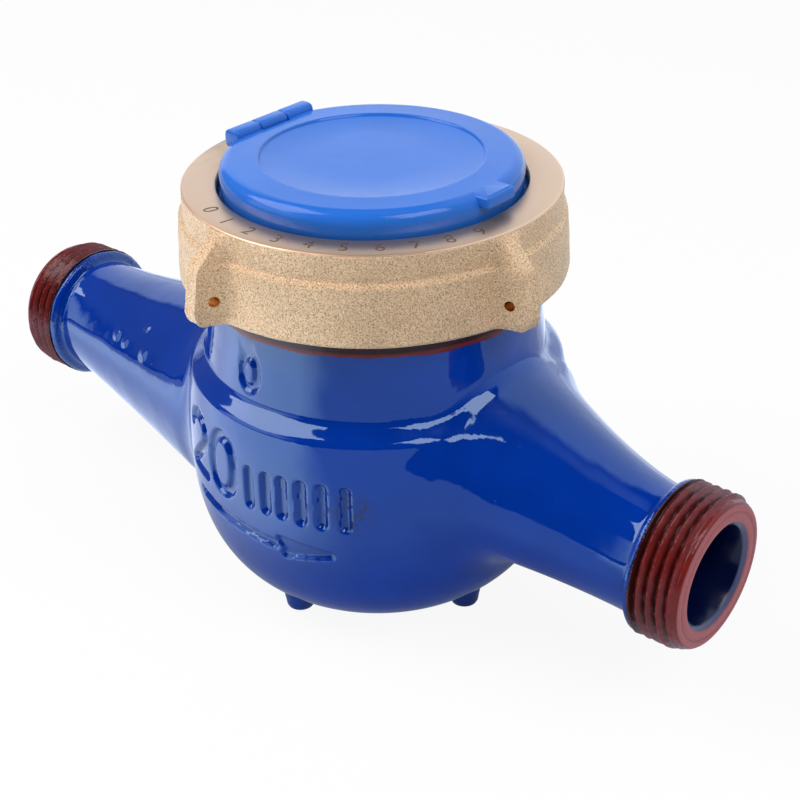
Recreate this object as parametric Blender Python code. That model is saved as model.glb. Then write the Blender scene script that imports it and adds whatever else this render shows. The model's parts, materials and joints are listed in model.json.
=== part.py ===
"""Cold water meter of 20 mm bore, multi-jet vane wheel type, as separate pieces.

Lengths are in metres. Heights are measured from the pipe axis, and radii from
the upright axis of the bowl, which lies a little towards the outlet. The whole
meter stands on four small feet, with the floor at z = 0 and the outlet at +X.
"""
import math

import bmesh
import bpy
import numpy as np
from mathutils import Matrix, Vector

MM = 0.001

# Overall sizes
LENGTH = 195.0 * MM
BOWL_X = 9.7 * MM
SEAT_GAP = 0.3 * MM

# Threaded ends
THREAD_RADIUS = 16.6 * MM
THREAD_LENGTH = 10.8 * MM
THREAD_CHAMFER = 1.2 * MM
THREAD_PITCH = 2.309 * MM
THREAD_DEPTH = 1.25 * MM
COLLAR_LENGTH = 2.4 * MM
COLLAR_STEP = 0.8 * MM
BORE_RADIUS = 10.4 * MM
BORE_CHAMFER = 1.0 * MM

# Inlet and outlet tubes: they widen towards the bowl, the inlet dropping to the
# lower jets and the outlet rising from the upper ones
INLET_TUBE_RADIUS = 14.1 * MM
INLET_ROOT_RADIUS = 24.0 * MM
INLET_DROP = 3.0 * MM
INLET_FLARE = 1.25
OUTLET_TUBE_RADIUS = 13.8 * MM
OUTLET_ROOT_RADIUS = 21.9 * MM
OUTLET_RISE = 8.4 * MM
OUTLET_FLARE = 1.55
OUTLET_LIFT = 1.3
BLEND = 7.0 * MM

# Bowl and neck
BOWL_WIDEST = 4.0 * MM
BOWL_DEPTH = 32.6 * MM
BOWL_FLOOR_RADIUS = 12.0 * MM
BOWL_FULLNESS = 2.55
SHOULDER_STEP = 4.2 * MM
SHOULDER_HEIGHT = 20.3 * MM
BOWL_SWELL = 1.8 * MM
SWELL_SHARE = 0.75
NECK_BORE = 32.0 * MM
NECK_WALL = 4.2 * MM
NECK_FOOT = 23.9 * MM
SHOULDER_INSET = 0.7 * MM
NECK_SKIN_INSET = 2.0 * MM
NECK_SKIN_TOP = 33.0 * MM
NECK_THREAD_STEP = 0.7 * MM
NECK_THREAD_LENGTH = 7.4 * MM
FOOT_COUNT = 4
FOOT_ANGLE = -4.0
FOOT_CIRCLE = 26.2 * MM
FOOT_RADIUS = 2.5 * MM
FOOT_ROOT_RADIUS = 4.4 * MM
FOOT_STAND = 1.4 * MM
FOOT_EMBED = 8.6 * MM

# Cast marks on the bowl: places are (degrees round the bowl, height above the pipe axis)
MARK_HEIGHT = 1.0 * MM
MARK_EMBED = 1.0 * MM
MARK_HALF_WIDTH = 1.25 * MM
MARK_TOP_SHARE = 0.55
RIB_ANGLES = (-88.8, -82.7, -77.3, -71.3, -65.2, -58.4)
RIB_FOOT = 2.7 * MM
RIB_HEIGHT = 8.0 * MM
ARROW_LINE = ((-114.9, -3.5 * MM), (-95.4, -4.5 * MM), (-81.3, -5.4 * MM))
ARROW_TIP = (-63.3, -5.4 * MM)
ARROW_HALF_WIDTH = 2.9 * MM
ARROW_TIP_HALF_WIDTH = 0.6 * MM

# Flow passages inside the casting
LEDGE_HEIGHT = -5.0 * MM
LEDGE_THICKNESS = 4.0 * MM
LEDGE_WIDTH = 6.0 * MM
SUMP_INSET = 2.0 * MM
SUMP_FLOOR_WALL = 5.6 * MM
SUMP_CORNER_WIDTH = 10.0 * MM
SUMP_CORNER_HEIGHT = 8.0 * MM
PORT_OVERLAP = 4.0 * MM
INLET_BORE_LENGTH = 31.0 * MM
OUTLET_BORE_LENGTH = 15.0 * MM
INLET_PORT_HEIGHT = -15.5 * MM
INLET_PORT_HALF = (11.0 * MM, 6.4 * MM)
OUTLET_PORT_HEIGHT = 5.0 * MM
OUTLET_PORT_HALF = (12.0 * MM, 9.3 * MM)

# Cover ring and its sealing lugs
RING_HEIGHT = 18.9 * MM
RING_WALL = 2.4 * MM
RING_BAND = 6.1 * MM
RING_STEP = 0.8 * MM
RING_FOOT_STEP = 1.6 * MM
RING_EDGE = 0.5 * MM
RING_FLANGE = 2.4 * MM
RING_THREAD_CLEARANCE = 0.4 * MM
LUG_COUNT = 4
LUG_ANGLE = -8.5
LUG_STAND_OUT = 7.9 * MM
LUG_SHOULDER_BACK = 1.6 * MM
LUG_SHOULDER_DROP = 6.8 * MM
LUG_HEEL_HEIGHT = 3.2 * MM
LUG_HEEL_BACK = 2.6 * MM
LUG_EMBED = 1.2 * MM
LUG_HALF_WIDTH = 2.3 * MM
LUG_ROOT_HALF_WIDTH = 4.3 * MM
LUG_WAIST = 0.6
SEAL_HOLE_RADIUS = 1.05 * MM
SEAL_HOLE_STAND_OUT = 3.7 * MM
SEAL_HOLE_RISE = 5.4 * MM

# Window stack on the neck
WINDOW_CLEARANCE = 0.4 * MM
GASKET_THICKNESS = 1.7 * MM
GLASS_THICKNESS = 5.5 * MM
GLASS_CLEARANCE = 0.9 * MM
GLASS_BEVEL = 0.5 * MM
WASHER_THICKNESS = 1.0 * MM

# Lid seat, lid and hinge
SEAT_REACH = 3.4 * MM
SEAT_FLANGE = 1.0 * MM
SEAT_RIM = 0.7 * MM
LID_CLEARANCE = 0.8 * MM
LID_RIM = 8.7 * MM
LID_RISE = 4.9 * MM
LID_ROLL = 2.7 * MM
LID_SKIRT = 1.5 * MM
LID_SHEET = 1.4 * MM
LID_EDGE = 0.5 * MM
LID_RECESS_DEPTH = 0.5 * MM
HINGE_INSET = 2.0 * MM
HINGE_DROP = 0.7 * MM
KNUCKLE_RADIUS = 2.4 * MM
KNUCKLE_SPLIT = 4.15 * MM
KNUCKLE_END = 12.0 * MM
HINGE_PIN_RADIUS = 0.8 * MM
HINGE_PIN_INSET = 0.2 * MM
SKIRT_CLEARANCE = 4.0 * MM
TAB_HALF_WIDTH = 3.8 * MM
TAB_LENGTH = 4.0 * MM
TAB_THICKNESS = 2.0 * MM
TAB_DROP = 0.9 * MM

# Measuring chamber, strainers and impeller
CHAMBER_INSET = 4.5 * MM
CHAMBER_WALL = 2.0 * MM
CHAMBER_TOP = 12.0 * MM
STRAINER_STAND = 5.0 * MM
CHAMBER_SHEET = 2.5 * MM
CHAMBER_FLANGE = 2.0 * MM
CHAMBER_GASKET = 1.2 * MM
COVER_SHEET = 2.0 * MM
JET_COUNT = 8
JET_SKEW = 42.0
JET_WIDTH = 3.0 * MM
INLET_JET_RISE = 2.0 * MM
INLET_JET_DROP = 3.5 * MM
OUTLET_JETS = (2.0 * MM, 9.5 * MM)
STRAINER_WALL = 1.2 * MM
STRAINER_SLOTS = 12
STRAINER_SLOT_WIDTH = 2.6 * MM
INLET_STRAINER_DEPTH = 9.0 * MM
INLET_STRAINER_LENGTH = 20.0 * MM
INLET_STRAINER_TIP = 5.5 * MM
INLET_STRAINER_COLLAR = 2.0 * MM
INLET_STRAINER_SLOT = 1.8 * MM
INLET_STRAINER_SLOT_PAIRS = 4
IMPELLER_VANES = 8
IMPELLER_CLEARANCE = 1.7 * MM
IMPELLER_HUB = 3.2 * MM
IMPELLER_RISE = 2.5 * MM
IMPELLER_TOP = 7.0 * MM
VANE_THICKNESS = 1.2 * MM
VANE_INSET = 1.5 * MM
SPINDLE_RADIUS = 1.0 * MM
PIVOT_RADIUS = 1.0 * MM
PIVOT_FLANGE_RADIUS = 3.0 * MM
PIVOT_FLANGE = 1.5 * MM
PIVOT_HEIGHT = 8.0 * MM

# Register: cup, plates, dial and the decade train
CUP_CLEARANCE = 0.5 * MM
CUP_WALL = 1.9 * MM
CUP_SHOULDER = 1.3 * MM
CUP_SHEET = 1.5 * MM
LOWER_PLATE_HEIGHT = 27.3 * MM
PLATE_THICKNESS = 1.2 * MM
PLATE_SPACE = 1.75 * MM
DIAL_SPACE = 0.5 * MM
DIAL_THICKNESS = 1.0 * MM
DIAL_RECESS = 1.8 * MM
PILLAR_RADIUS = 1.6 * MM
PILLAR_PLACES = ((26.2 * MM, 48.0), (26.2 * MM, 132.0), (7.4 * MM, -80.0))
GEAR_MODULE = 0.8 * MM
PINION_TEETH = 6
IDLER_TEETH = 18
WHEEL_TEETH = 20
GEAR_ADDENDUM = 0.8
GEAR_DEDENDUM = 1.1
TOOTH_TIP_SHARE = 0.2
TOOTH_ROOT_SHARE = 0.55
GEAR_SPACE = 0.45 * MM
GEAR_FACE = 1.1 * MM
GEAR_EMBED = 0.2 * MM
POINTER_CLEARANCE = 1.12 * MM
ARBOR_RADIUS = 0.6 * MM
BEARING_CLEARANCE = 0.3 * MM
POINTER_EDGE = 2.66 * MM
DECADES = 4
FIRST_POINTER_ANGLE = 178.0
POINTER_LENGTH = 4.6 * MM
POINTER_THICKNESS = 0.6 * MM
POINTER_HUB = 1.2 * MM
STAR_RADIUS = 2.9 * MM
STAR_POINTS = 6

# Facet counts, and where the skin's rays start to lean
SKIN_JOIN = 50.0 * MM
ROUND = 44
ROUND_INNER = 24
SKIN_COLUMNS = 32
SKIN_BOWL_ROWS = 19
SKIN_TUBE_ROWS = 5
PASSAGE_SIDES = 18
KNUCKLE_ROUND = 12
SMALL_ROUND = 10
SHAFT_SIDES = 6

BLUE_ENAMEL = ("blue_enamel", (0.012, 0.06, 0.42, 1.0), 0.18, 0.0)
CAST_BRASS = ("cast_brass", (0.62, 0.47, 0.28, 1.0), 0.45, 1.0)
BLUE_PLASTIC = ("blue_plastic", (0.03, 0.16, 0.68, 1.0), 0.28, 0.0)
STAINLESS = ("stainless", (0.6, 0.6, 0.6, 1.0), 0.25, 1.0)
CLEAR_GLASS = ("clear_glass", (0.85, 0.92, 0.92, 1.0), 0.03, 0.0)
BLACK_RUBBER = ("black_rubber", (0.02, 0.02, 0.02, 1.0), 0.7, 0.0)
WHITE_PLASTIC = ("white_plastic", (0.8, 0.8, 0.77, 1.0), 0.4, 0.0)
GREY_PLASTIC = ("grey_plastic", (0.35, 0.36, 0.37, 1.0), 0.45, 0.0)
RED_PLASTIC = ("red_plastic", (0.65, 0.03, 0.02, 1.0), 0.35, 0.0)


def clear_scene():
    """Remove every object and mesh that the file starts with."""
    for item in list(bpy.data.objects):
        bpy.data.objects.remove(item, do_unlink=True)
    for mesh in list(bpy.data.meshes):
        bpy.data.meshes.remove(mesh)


def material(look):
    """The Principled material of a look, made once."""
    name, colour, roughness, metallic = look
    found = bpy.data.materials.get(name)
    if found:
        return found
    made = bpy.data.materials.new(name)
    made.use_nodes = True
    shader = made.node_tree.nodes["Principled BSDF"]
    shader.inputs["Base Color"].default_value = colour
    shader.inputs["Roughness"].default_value = roughness
    shader.inputs["Metallic"].default_value = metallic
    made.diffuse_color = colour
    return made


def empty(name, location):
    """An empty that carries pieces at an axis."""
    holder = bpy.data.objects.new(name, None)
    bpy.context.collection.objects.link(holder)
    holder.location = location
    return holder


def add(name, bm, look=None, parent=None, origin=(0.0, 0.0, 0.0)):
    """Turn a bmesh into a named object whose own origin is moved to a point."""
    bmesh.ops.remove_doubles(bm, verts=bm.verts, dist=1e-7)
    bmesh.ops.recalc_face_normals(bm, faces=bm.faces)
    bmesh.ops.translate(bm, verts=bm.verts, vec=-Vector(origin))
    mesh = bpy.data.meshes.new(name)
    bm.to_mesh(mesh)
    bm.free()
    item = bpy.data.objects.new(name, mesh)
    bpy.context.collection.objects.link(item)
    item.location = origin
    item.parent = parent
    if look:
        mesh.materials.append(material(look))
    return item


def shade(item, degrees=35.0):
    """Smooth shading with sharp edges past an angle."""
    item.data.shade_smooth()
    item.data.set_sharp_from_angle(angle=math.radians(degrees))


def combine(item, tools, operation):
    """Join tools to a piece, or cut them out of it, and keep the plain mesh."""
    bpy.context.view_layer.update()
    for tool in tools:
        step = item.modifiers.new(operation.lower(), "BOOLEAN")
        step.operation = operation
        step.solver = "EXACT"
        step.object = tool
    bpy.context.view_layer.update()
    evaluated = item.evaluated_get(bpy.context.evaluated_depsgraph_get())
    mesh = bpy.data.meshes.new_from_object(evaluated)
    item.modifiers.clear()
    item.data = mesh
    for tool in tools:
        bpy.data.objects.remove(tool, do_unlink=True)
    return item


def turned(outline, sides=ROUND, axis="Z"):
    """A closed outline of (radius, height) spun once round an axis."""
    bm = bmesh.new()
    verts = [bm.verts.new((r, 0.0, h)) for r, h in outline]
    edges = [bm.edges.new((verts[i - 1], verts[i])) for i in range(len(verts))]
    bmesh.ops.spin(bm, geom=verts + edges, cent=(0, 0, 0), axis=(0, 0, 1), dvec=(0, 0, 0),
                   angle=2 * math.pi, steps=round(sides), use_merge=True, use_duplicate=False)
    bmesh.ops.remove_doubles(bm, verts=bm.verts, dist=1e-7)
    flat = [e for e in bm.edges if not e.link_faces]
    bmesh.ops.delete(bm, geom=flat, context="EDGES")
    if axis == "X":
        bmesh.ops.rotate(bm, verts=bm.verts, matrix=Matrix.Rotation(math.pi / 2, 3, "Y"))
    if axis == "Y":
        bmesh.ops.rotate(bm, verts=bm.verts, matrix=Matrix.Rotation(-math.pi / 2, 3, "X"))
    return bm


def disc_outline(radius, low, high, bore=0.0):
    """Outline of a plain disc, or of a flat ring where it has a bore."""
    return [(bore, low), (radius, low), (radius, high), (bore, high)]


def lofted(rings):
    """Closed solid through rings of equal point count, with a face on each end."""
    bm = bmesh.new()
    rows = [[bm.verts.new(p) for p in ring] for ring in rings]
    count = len(rows[0])
    for low, high in zip(rows, rows[1:]):
        for i in range(count):
            j = (i + 1) % count
            bm.faces.new((low[i], low[j], high[j], high[i]))
    bm.faces.new(rows[0])
    bm.faces.new(rows[-1])
    return bm


def extruded(outline, low, high):
    """A flat outline of (x, y) raised between two heights."""
    return lofted([[(x, y, low) for x, y in outline], [(x, y, high) for x, y in outline]])


def box(low, high):
    """A box between two corners."""
    (x0, y0, z0), (x1, y1, z1) = low, high
    return extruded([(x0, y0), (x1, y0), (x1, y1), (x0, y1)], z0, z1)


def gathered(parts):
    """Several separate meshes in one."""
    whole = bmesh.new()
    for part in parts:
        mesh = bpy.data.meshes.new("part")
        part.to_mesh(mesh)
        part.free()
        whole.from_mesh(mesh)
        bpy.data.meshes.remove(mesh)
    return whole


def turn(bm, degrees, centre=(0.0, 0.0, 0.0)):
    """Rotate a mesh about an upright line."""
    bmesh.ops.rotate(bm, verts=bm.verts, cent=centre,
                     matrix=Matrix.Rotation(math.radians(degrees), 3, "Z"))
    return bm


def shift(bm, vector):
    """Move a mesh."""
    bmesh.ops.translate(bm, verts=bm.verts, vec=vector)
    return bm


def arc(centre, radius, start, end, steps):
    """Points on an arc, angles in degrees."""
    angles = np.radians(np.linspace(start, end, steps + 1))
    return [(centre[0] + radius * math.cos(a), centre[1] + radius * math.sin(a)) for a in angles]


def polar(radius, degrees):
    """A point at a radius and an angle."""
    return radius * math.cos(math.radians(degrees)), radius * math.sin(math.radians(degrees))


# Radii from the axis of the bowl, each worked out from the bore of the neck


def neck_radius():
    """Outer wall of the neck."""
    return NECK_BORE + NECK_WALL


def neck_thread_radius():
    """Crest of the neck thread."""
    return neck_radius() + NECK_THREAD_STEP


def shoulder_radius():
    """Edge where the bowl turns in to the neck."""
    return neck_radius() + SHOULDER_STEP


def bowl_radius():
    """Widest part of the bowl."""
    return shoulder_radius() + BOWL_SWELL


def ring_radius():
    """Outer wall of the cover ring's upper band."""
    return neck_thread_radius() + RING_THREAD_CLEARANCE + RING_WALL


def window_opening():
    """Clear view through the gasket, the washer and the cover ring."""
    return NECK_BORE + WINDOW_CLEARANCE


def lid_radius():
    """Edge of the lid, inside the cover ring."""
    return window_opening() - LID_CLEARANCE


def hinge_x():
    """Place of the lid's hinge, on the inlet side of the bowl's axis."""
    return HINGE_INSET - lid_radius()


def ledge_bore():
    """Inner edge of the ledge that carries the measuring chamber."""
    return NECK_BORE - LEDGE_WIDTH


def sump_radius():
    """Wall of the sump below the ledge."""
    return NECK_BORE - SUMP_INSET


def chamber_bore():
    """Bore of the measuring chamber."""
    return ledge_bore() - CHAMBER_INSET


def plate_radius():
    """Edge of the gear plates, inside the register cup."""
    return NECK_BORE - CUP_CLEARANCE - CUP_WALL - SEAT_GAP


# Heights, each worked out from the one below it


def axis_height():
    """Height of the pipe axis above the floor."""
    return BOWL_DEPTH + FOOT_STAND


def gear_height(level):
    """Underside of a gear on a step of the stair."""
    return LOWER_PLATE_HEIGHT + PLATE_THICKNESS + GEAR_SPACE + level * (GEAR_FACE + GEAR_SPACE)


def sump_floor():
    """Floor of the sump in the casting."""
    return SUMP_FLOOR_WALL - BOWL_DEPTH


def chamber_floor():
    """Inner floor of the measuring chamber, over the strainer's own floor."""
    return sump_floor() + STRAINER_STAND + STRAINER_WALL + SEAT_GAP + CHAMBER_SHEET


def inlet_jets():
    """Lower and upper edge of the inlet jets, between the chamber's floor and the ledge."""
    return chamber_floor() + INLET_JET_RISE, LEDGE_HEIGHT - INLET_JET_DROP


def upper_plate_height():
    """Underside of the upper gear plate."""
    return gear_height(2 * DECADES) + GEAR_FACE + PLATE_SPACE


def cup_top():
    """Rim of the register cup, on which the dial lies."""
    return upper_plate_height() + PLATE_THICKNESS + DIAL_SPACE


def dial_top():
    """Upper face of the dial."""
    return cup_top() + SEAT_GAP + DIAL_THICKNESS


def neck_top():
    """Rim of the neck, on which the window stack lies."""
    return dial_top() + DIAL_RECESS


def window_heights():
    """Underside of the gasket, glass, washer and lid seat, in that order."""
    gasket = neck_top() + SEAT_GAP
    glass = gasket + GASKET_THICKNESS + SEAT_GAP
    washer = glass + GLASS_THICKNESS + SEAT_GAP
    seat = washer + WASHER_THICKNESS + SEAT_GAP
    return gasket, glass, washer, seat


def ring_top():
    """Top face of the cover ring."""
    return window_heights()[3] + SEAT_FLANGE + SEAT_GAP + RING_FLANGE


def lid_top():
    """Highest face of the lid."""
    return ring_top() + LID_RISE


def hinge_height():
    """Axis of the lid's hinge."""
    return lid_top() - HINGE_DROP


# Casting: outer skin


def smooth_union(a, b, reach):
    """Distance to two shapes joined with a fillet of about the given reach."""
    share = np.clip(0.5 + 0.5 * (b - a) / reach, 0.0, 1.0)
    return b + (a - b) * share - reach * share * (1.0 - share)


def bowl_outline():
    """Half section of bowl and neck as (radius, height) points, without the shoulder bead."""
    points = [(0.0, -BOWL_DEPTH)]
    height = BOWL_DEPTH + BOWL_WIDEST
    for angle in np.radians(np.linspace(90.0, 0.0, 13)):
        across = math.cos(angle) ** (2.0 / BOWL_FULLNESS)
        down = math.sin(angle) ** (2.0 / BOWL_FULLNESS)
        radius = BOWL_FLOOR_RADIUS + (bowl_radius() - BOWL_FLOOR_RADIUS) * across
        points.append((radius, BOWL_WIDEST - height * down))
    neck = neck_radius() - NECK_SKIN_INSET
    middle = 0.5 * (BOWL_WIDEST + SHOULDER_HEIGHT)
    return points + [(shoulder_radius() + SWELL_SHARE * BOWL_SWELL, middle),
                     (shoulder_radius() - SHOULDER_INSET, SHOULDER_HEIGHT - SHOULDER_INSET),
                     (neck, NECK_FOOT - SHOULDER_INSET), (neck, NECK_SKIN_TOP), (0.0, NECK_SKIN_TOP)]


def outline_distance(radius, height, outline):
    """Signed distance from points to a half section, negative inside."""
    closest = np.full(radius.shape, np.inf)
    inside = np.zeros(radius.shape, dtype=bool)
    for (r0, h0), (r1, h1) in zip(outline, outline[1:]):
        dr, dh = r1 - r0, h1 - h0
        along = ((radius - r0) * dr + (height - h0) * dh) / max(dr * dr + dh * dh, 1e-18)
        along = np.clip(along, 0.0, 1.0)
        gap = np.hypot(radius - r0 - along * dr, height - h0 - along * dh)
        closest = np.minimum(closest, gap)
        crosses = (h0 > height) != (h1 > height)
        if h1 != h0:
            inside ^= crosses & (radius < r0 + (height - h0) * dr / dh)
    return np.where(inside, -closest, closest)


def tube_size(x):
    """Radius and centre height of the inlet and outlet tubes at a place along the pipe."""
    collar = 0.5 * LENGTH - THREAD_LENGTH - COLLAR_LENGTH
    into = np.clip((collar + x) / (collar + BOWL_X - bowl_radius()), 0.0, 1.0)
    out = np.clip((collar - x) / (collar - BOWL_X - neck_radius()), 0.0, 1.0)
    inlet_radius = INLET_TUBE_RADIUS + (INLET_ROOT_RADIUS - INLET_TUBE_RADIUS) * into ** INLET_FLARE
    outlet_radius = OUTLET_TUBE_RADIUS + (OUTLET_ROOT_RADIUS - OUTLET_TUBE_RADIUS) * out ** OUTLET_FLARE
    inlet_height = -INLET_DROP * (1.0 - (1.0 - into) ** 2)
    outlet_height = OUTLET_RISE * out ** OUTLET_LIFT
    upstream = x < BOWL_X
    return np.where(upstream, inlet_radius, outlet_radius), np.where(upstream, inlet_height, outlet_height)


def casting_distance(x, y, z):
    """Rough signed distance to the outer skin of the casting."""
    bowl = outline_distance(np.hypot(x - BOWL_X, y), z, bowl_outline())
    radius, height = tube_size(x)
    tube = np.hypot(y, z - height) - radius
    return smooth_union(bowl, tube, BLEND)


def skin_ring(origin_x, tilt, columns):
    """Points where rays fanned round the pipe axis at a tilt leave the casting."""
    around = 2.0 * math.pi * np.arange(columns) / columns
    direction = np.stack([np.full(columns, math.cos(tilt)), math.sin(tilt) * np.cos(around),
                          math.sin(tilt) * np.sin(around)], axis=1)
    near = np.zeros(columns)
    far = np.full(columns, 0.5 * LENGTH)
    for _ in range(30):
        middle = 0.5 * (near + far)
        point = direction * middle[:, None] + (origin_x, 0.0, 0.0)
        outside = casting_distance(point[:, 0], point[:, 1], point[:, 2]) > 0.0
        far = np.where(outside, middle, far)
        near = np.where(outside, near, middle)
    return [tuple(p) for p in direction * far[:, None] + (origin_x, 0.0, 0.0)]


def plain_ring(x, radius, columns):
    """A ring of points round the pipe axis."""
    around = 2.0 * math.pi * np.arange(columns) / columns
    return [(x, radius * math.cos(a), radius * math.sin(a)) for a in around]


def tube_ring(outer_x, inner_x, step, last_tilt):
    """One ring of a tube, square to it at the collar and leaning in near the bowl."""
    x = outer_x + (inner_x - outer_x) * step
    tilt = 0.5 * math.pi + (last_tilt - 0.5 * math.pi) * step
    radius = float(tube_size(np.array(x))[0])
    return skin_ring(x - radius / math.tan(tilt), tilt, SKIN_COLUMNS)


def thread_rings(side):
    """Rings of one threaded end from its chamfered mouth inwards, crest and root in turn."""
    crest = 0.5 * LENGTH - THREAD_CHAMFER
    rings = [plain_ring(side * 0.5 * LENGTH, THREAD_RADIUS - THREAD_CHAMFER, SKIN_COLUMNS)]
    for _ in range(int((THREAD_LENGTH - THREAD_CHAMFER) / THREAD_PITCH)):
        root = crest - 0.5 * THREAD_PITCH
        rings.append(plain_ring(side * crest, THREAD_RADIUS, SKIN_COLUMNS))
        rings.append(plain_ring(side * root, THREAD_RADIUS - THREAD_DEPTH, SKIN_COLUMNS))
        crest -= THREAD_PITCH
    rings.append(plain_ring(side * crest, THREAD_RADIUS, SKIN_COLUMNS))
    return rings


def casting_skin():
    """Closed outer form of the casting below the neck, with its threaded ends."""
    collar = 0.5 * LENGTH - THREAD_LENGTH - COLLAR_LENGTH
    join_in, join_out = BOWL_X - SKIN_JOIN, BOWL_X + SKIN_JOIN
    tilt_in = math.pi - math.atan2(float(tube_size(np.array(join_in))[0]), SKIN_JOIN)
    tilt_out = math.atan2(float(tube_size(np.array(join_out))[0]), SKIN_JOIN)
    steps = np.linspace(0.0, 1.0, SKIN_TUBE_ROWS, endpoint=False)
    rings = thread_rings(-1.0)
    rings.append(plain_ring(-collar - COLLAR_STEP, THREAD_RADIUS, SKIN_COLUMNS))
    rings += [tube_ring(-collar, join_in, step, tilt_in) for step in steps]
    rings += [skin_ring(BOWL_X, tilt, SKIN_COLUMNS)
              for tilt in np.linspace(tilt_in, tilt_out, SKIN_BOWL_ROWS)]
    rings += [tube_ring(collar, join_out, step, tilt_out) for step in reversed(steps)]
    rings.append(plain_ring(collar + COLLAR_STEP, THREAD_RADIUS, SKIN_COLUMNS))
    return lofted(rings + thread_rings(1.0)[::-1])


def passage(side, bore_length, port_x, port_height, port_half, sides=PASSAGE_SIDES, rows=5):
    """A chamfered bore from a mouth, then a change to the oval port in the chest."""
    overrun = BORE_CHAMFER
    end = 0.5 * LENGTH
    rings = [plain_ring(side * (end + overrun), BORE_RADIUS + BORE_CHAMFER + overrun, sides),
             plain_ring(side * (end - BORE_CHAMFER), BORE_RADIUS, sides)]
    start = side * (end - bore_length)
    around = 2.0 * math.pi * np.arange(sides) / sides
    for step in np.linspace(0.0, 1.0, rows):
        ease = step * step * (3.0 - 2.0 * step)
        x = start + (port_x - start) * step
        wide, tall = [BORE_RADIUS + (half - BORE_RADIUS) * ease for half in port_half]
        rings.append([(x, wide * math.cos(a), port_height * ease + tall * math.sin(a)) for a in around])
    return lofted(rings)


def neck_solid():
    """Shoulder bead and neck as one turned solid, with the plain cylinder of the neck thread."""
    neck, thread, shoulder = neck_radius(), neck_thread_radius(), shoulder_radius()
    thread_foot = neck_top() - NECK_THREAD_LENGTH
    return turned([(0.0, BOWL_WIDEST), (shoulder - BLEND, BOWL_WIDEST),
                   (shoulder - SHOULDER_INSET, 0.5 * (BOWL_WIDEST + SHOULDER_HEIGHT)),
                   (shoulder, SHOULDER_HEIGHT), (neck, NECK_FOOT), (neck, thread_foot),
                   (thread, thread_foot), (thread, neck_top()), (0.0, neck_top())])


def on_bowl(across, height, lift):
    """A point on the bowl's wall, a way round it and a height above the pipe axis, lifted off it."""
    wall = [(r, h) for r, h in bowl_outline() if h <= SHOULDER_HEIGHT]
    radius = float(np.interp(height, [h for _, h in wall], [r for r, _ in wall])) + lift
    return (*polar(radius, math.degrees(across / bowl_radius())), height)


def stroke(line, half_widths):
    """A raised bar on the bowl along a line of (degrees, height) points, narrower at its top."""
    points = np.array([(bowl_radius() * math.radians(a), h) for a, h in line])
    way = np.gradient(points, axis=0)
    way /= np.linalg.norm(way, axis=1, keepdims=True)
    section = ((-1.0, -MARK_EMBED), (1.0, -MARK_EMBED), (MARK_TOP_SHARE, MARK_HEIGHT),
               (-MARK_TOP_SHARE, MARK_HEIGHT))
    rings = []
    for (across, height), (du, dh), half in zip(points, way, half_widths):
        rings.append([on_bowl(across - dh * side * half, height + du * side * half, lift)
                      for side, lift in section])
    return lofted(rings)


def cast_marks():
    """Plain ribs and the flow arrow's shaft in one lot, and the arrow's head, all off the bowl."""
    ribs = [[(angle, RIB_FOOT), (angle, RIB_FOOT + RIB_HEIGHT)] for angle in RIB_ANGLES]
    lines = [stroke(line, [MARK_HALF_WIDTH] * len(line)) for line in ribs + [list(ARROW_LINE)]]
    root = ARROW_LINE[-1]
    middle = (0.5 * (root[0] + ARROW_TIP[0]), 0.5 * (root[1] + ARROW_TIP[1]))
    head_widths = (ARROW_HALF_WIDTH, 0.5 * (ARROW_HALF_WIDTH + ARROW_TIP_HALF_WIDTH), ARROW_TIP_HALF_WIDTH)
    return gathered(lines), stroke([root, middle, ARROW_TIP], head_widths)


def casting():
    """Bowl, neck, tubes and threaded ends in one, with its flow passages cut."""
    body = add("body_casting", casting_skin(), BLUE_ENAMEL, PIPE)
    feet = []
    for i in range(FOOT_COUNT):
        low, root = -axis_height(), FOOT_EMBED - BOWL_DEPTH
        foot = turned([(0.0, low), (FOOT_RADIUS, low), (FOOT_ROOT_RADIUS, root), (0.0, root)], SMALL_ROUND)
        place = polar(FOOT_CIRCLE, FOOT_ANGLE + 360.0 / FOOT_COUNT * i)
        feet.append(shift(foot, (*place, 0.0)))
    joined = [add("neck", neck_solid(), None, BOWL), add("feet", gathered(feet), None, BOWL)]
    joined += [add(f"marks_{i}", marks, None, BOWL) for i, marks in enumerate(cast_marks())]
    combine(body, joined, "UNION")
    ledge = LEDGE_HEIGHT - LEDGE_THICKNESS
    open_top = neck_top() + PORT_OVERLAP
    sump = sump_radius()
    floor = sump_floor()
    chest = turned([(0.0, floor), (sump - SUMP_CORNER_WIDTH, floor),
                    (sump - 0.2 * SUMP_CORNER_WIDTH, floor + 0.6 * SUMP_CORNER_HEIGHT),
                    (sump, floor + SUMP_CORNER_HEIGHT), (sump, ledge), (ledge_bore(), ledge),
                    (ledge_bore(), LEDGE_HEIGHT), (NECK_BORE, LEDGE_HEIGHT), (NECK_BORE, open_top),
                    (0.0, open_top)], ROUND_INNER)
    combine(body, [add("chest", chest, None, BOWL)], "DIFFERENCE")
    inlet = passage(-1.0, INLET_BORE_LENGTH, BOWL_X - sump_radius() + PORT_OVERLAP, INLET_PORT_HEIGHT,
                    INLET_PORT_HALF)
    outlet = passage(1.0, OUTLET_BORE_LENGTH, BOWL_X + NECK_BORE - PORT_OVERLAP, OUTLET_PORT_HEIGHT,
                     OUTLET_PORT_HALF)
    combine(body, [add("inlet_passage", inlet, None, PIPE), add("outlet_passage", outlet, None, PIPE)],
            "DIFFERENCE")
    return body


# Cover ring


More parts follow.
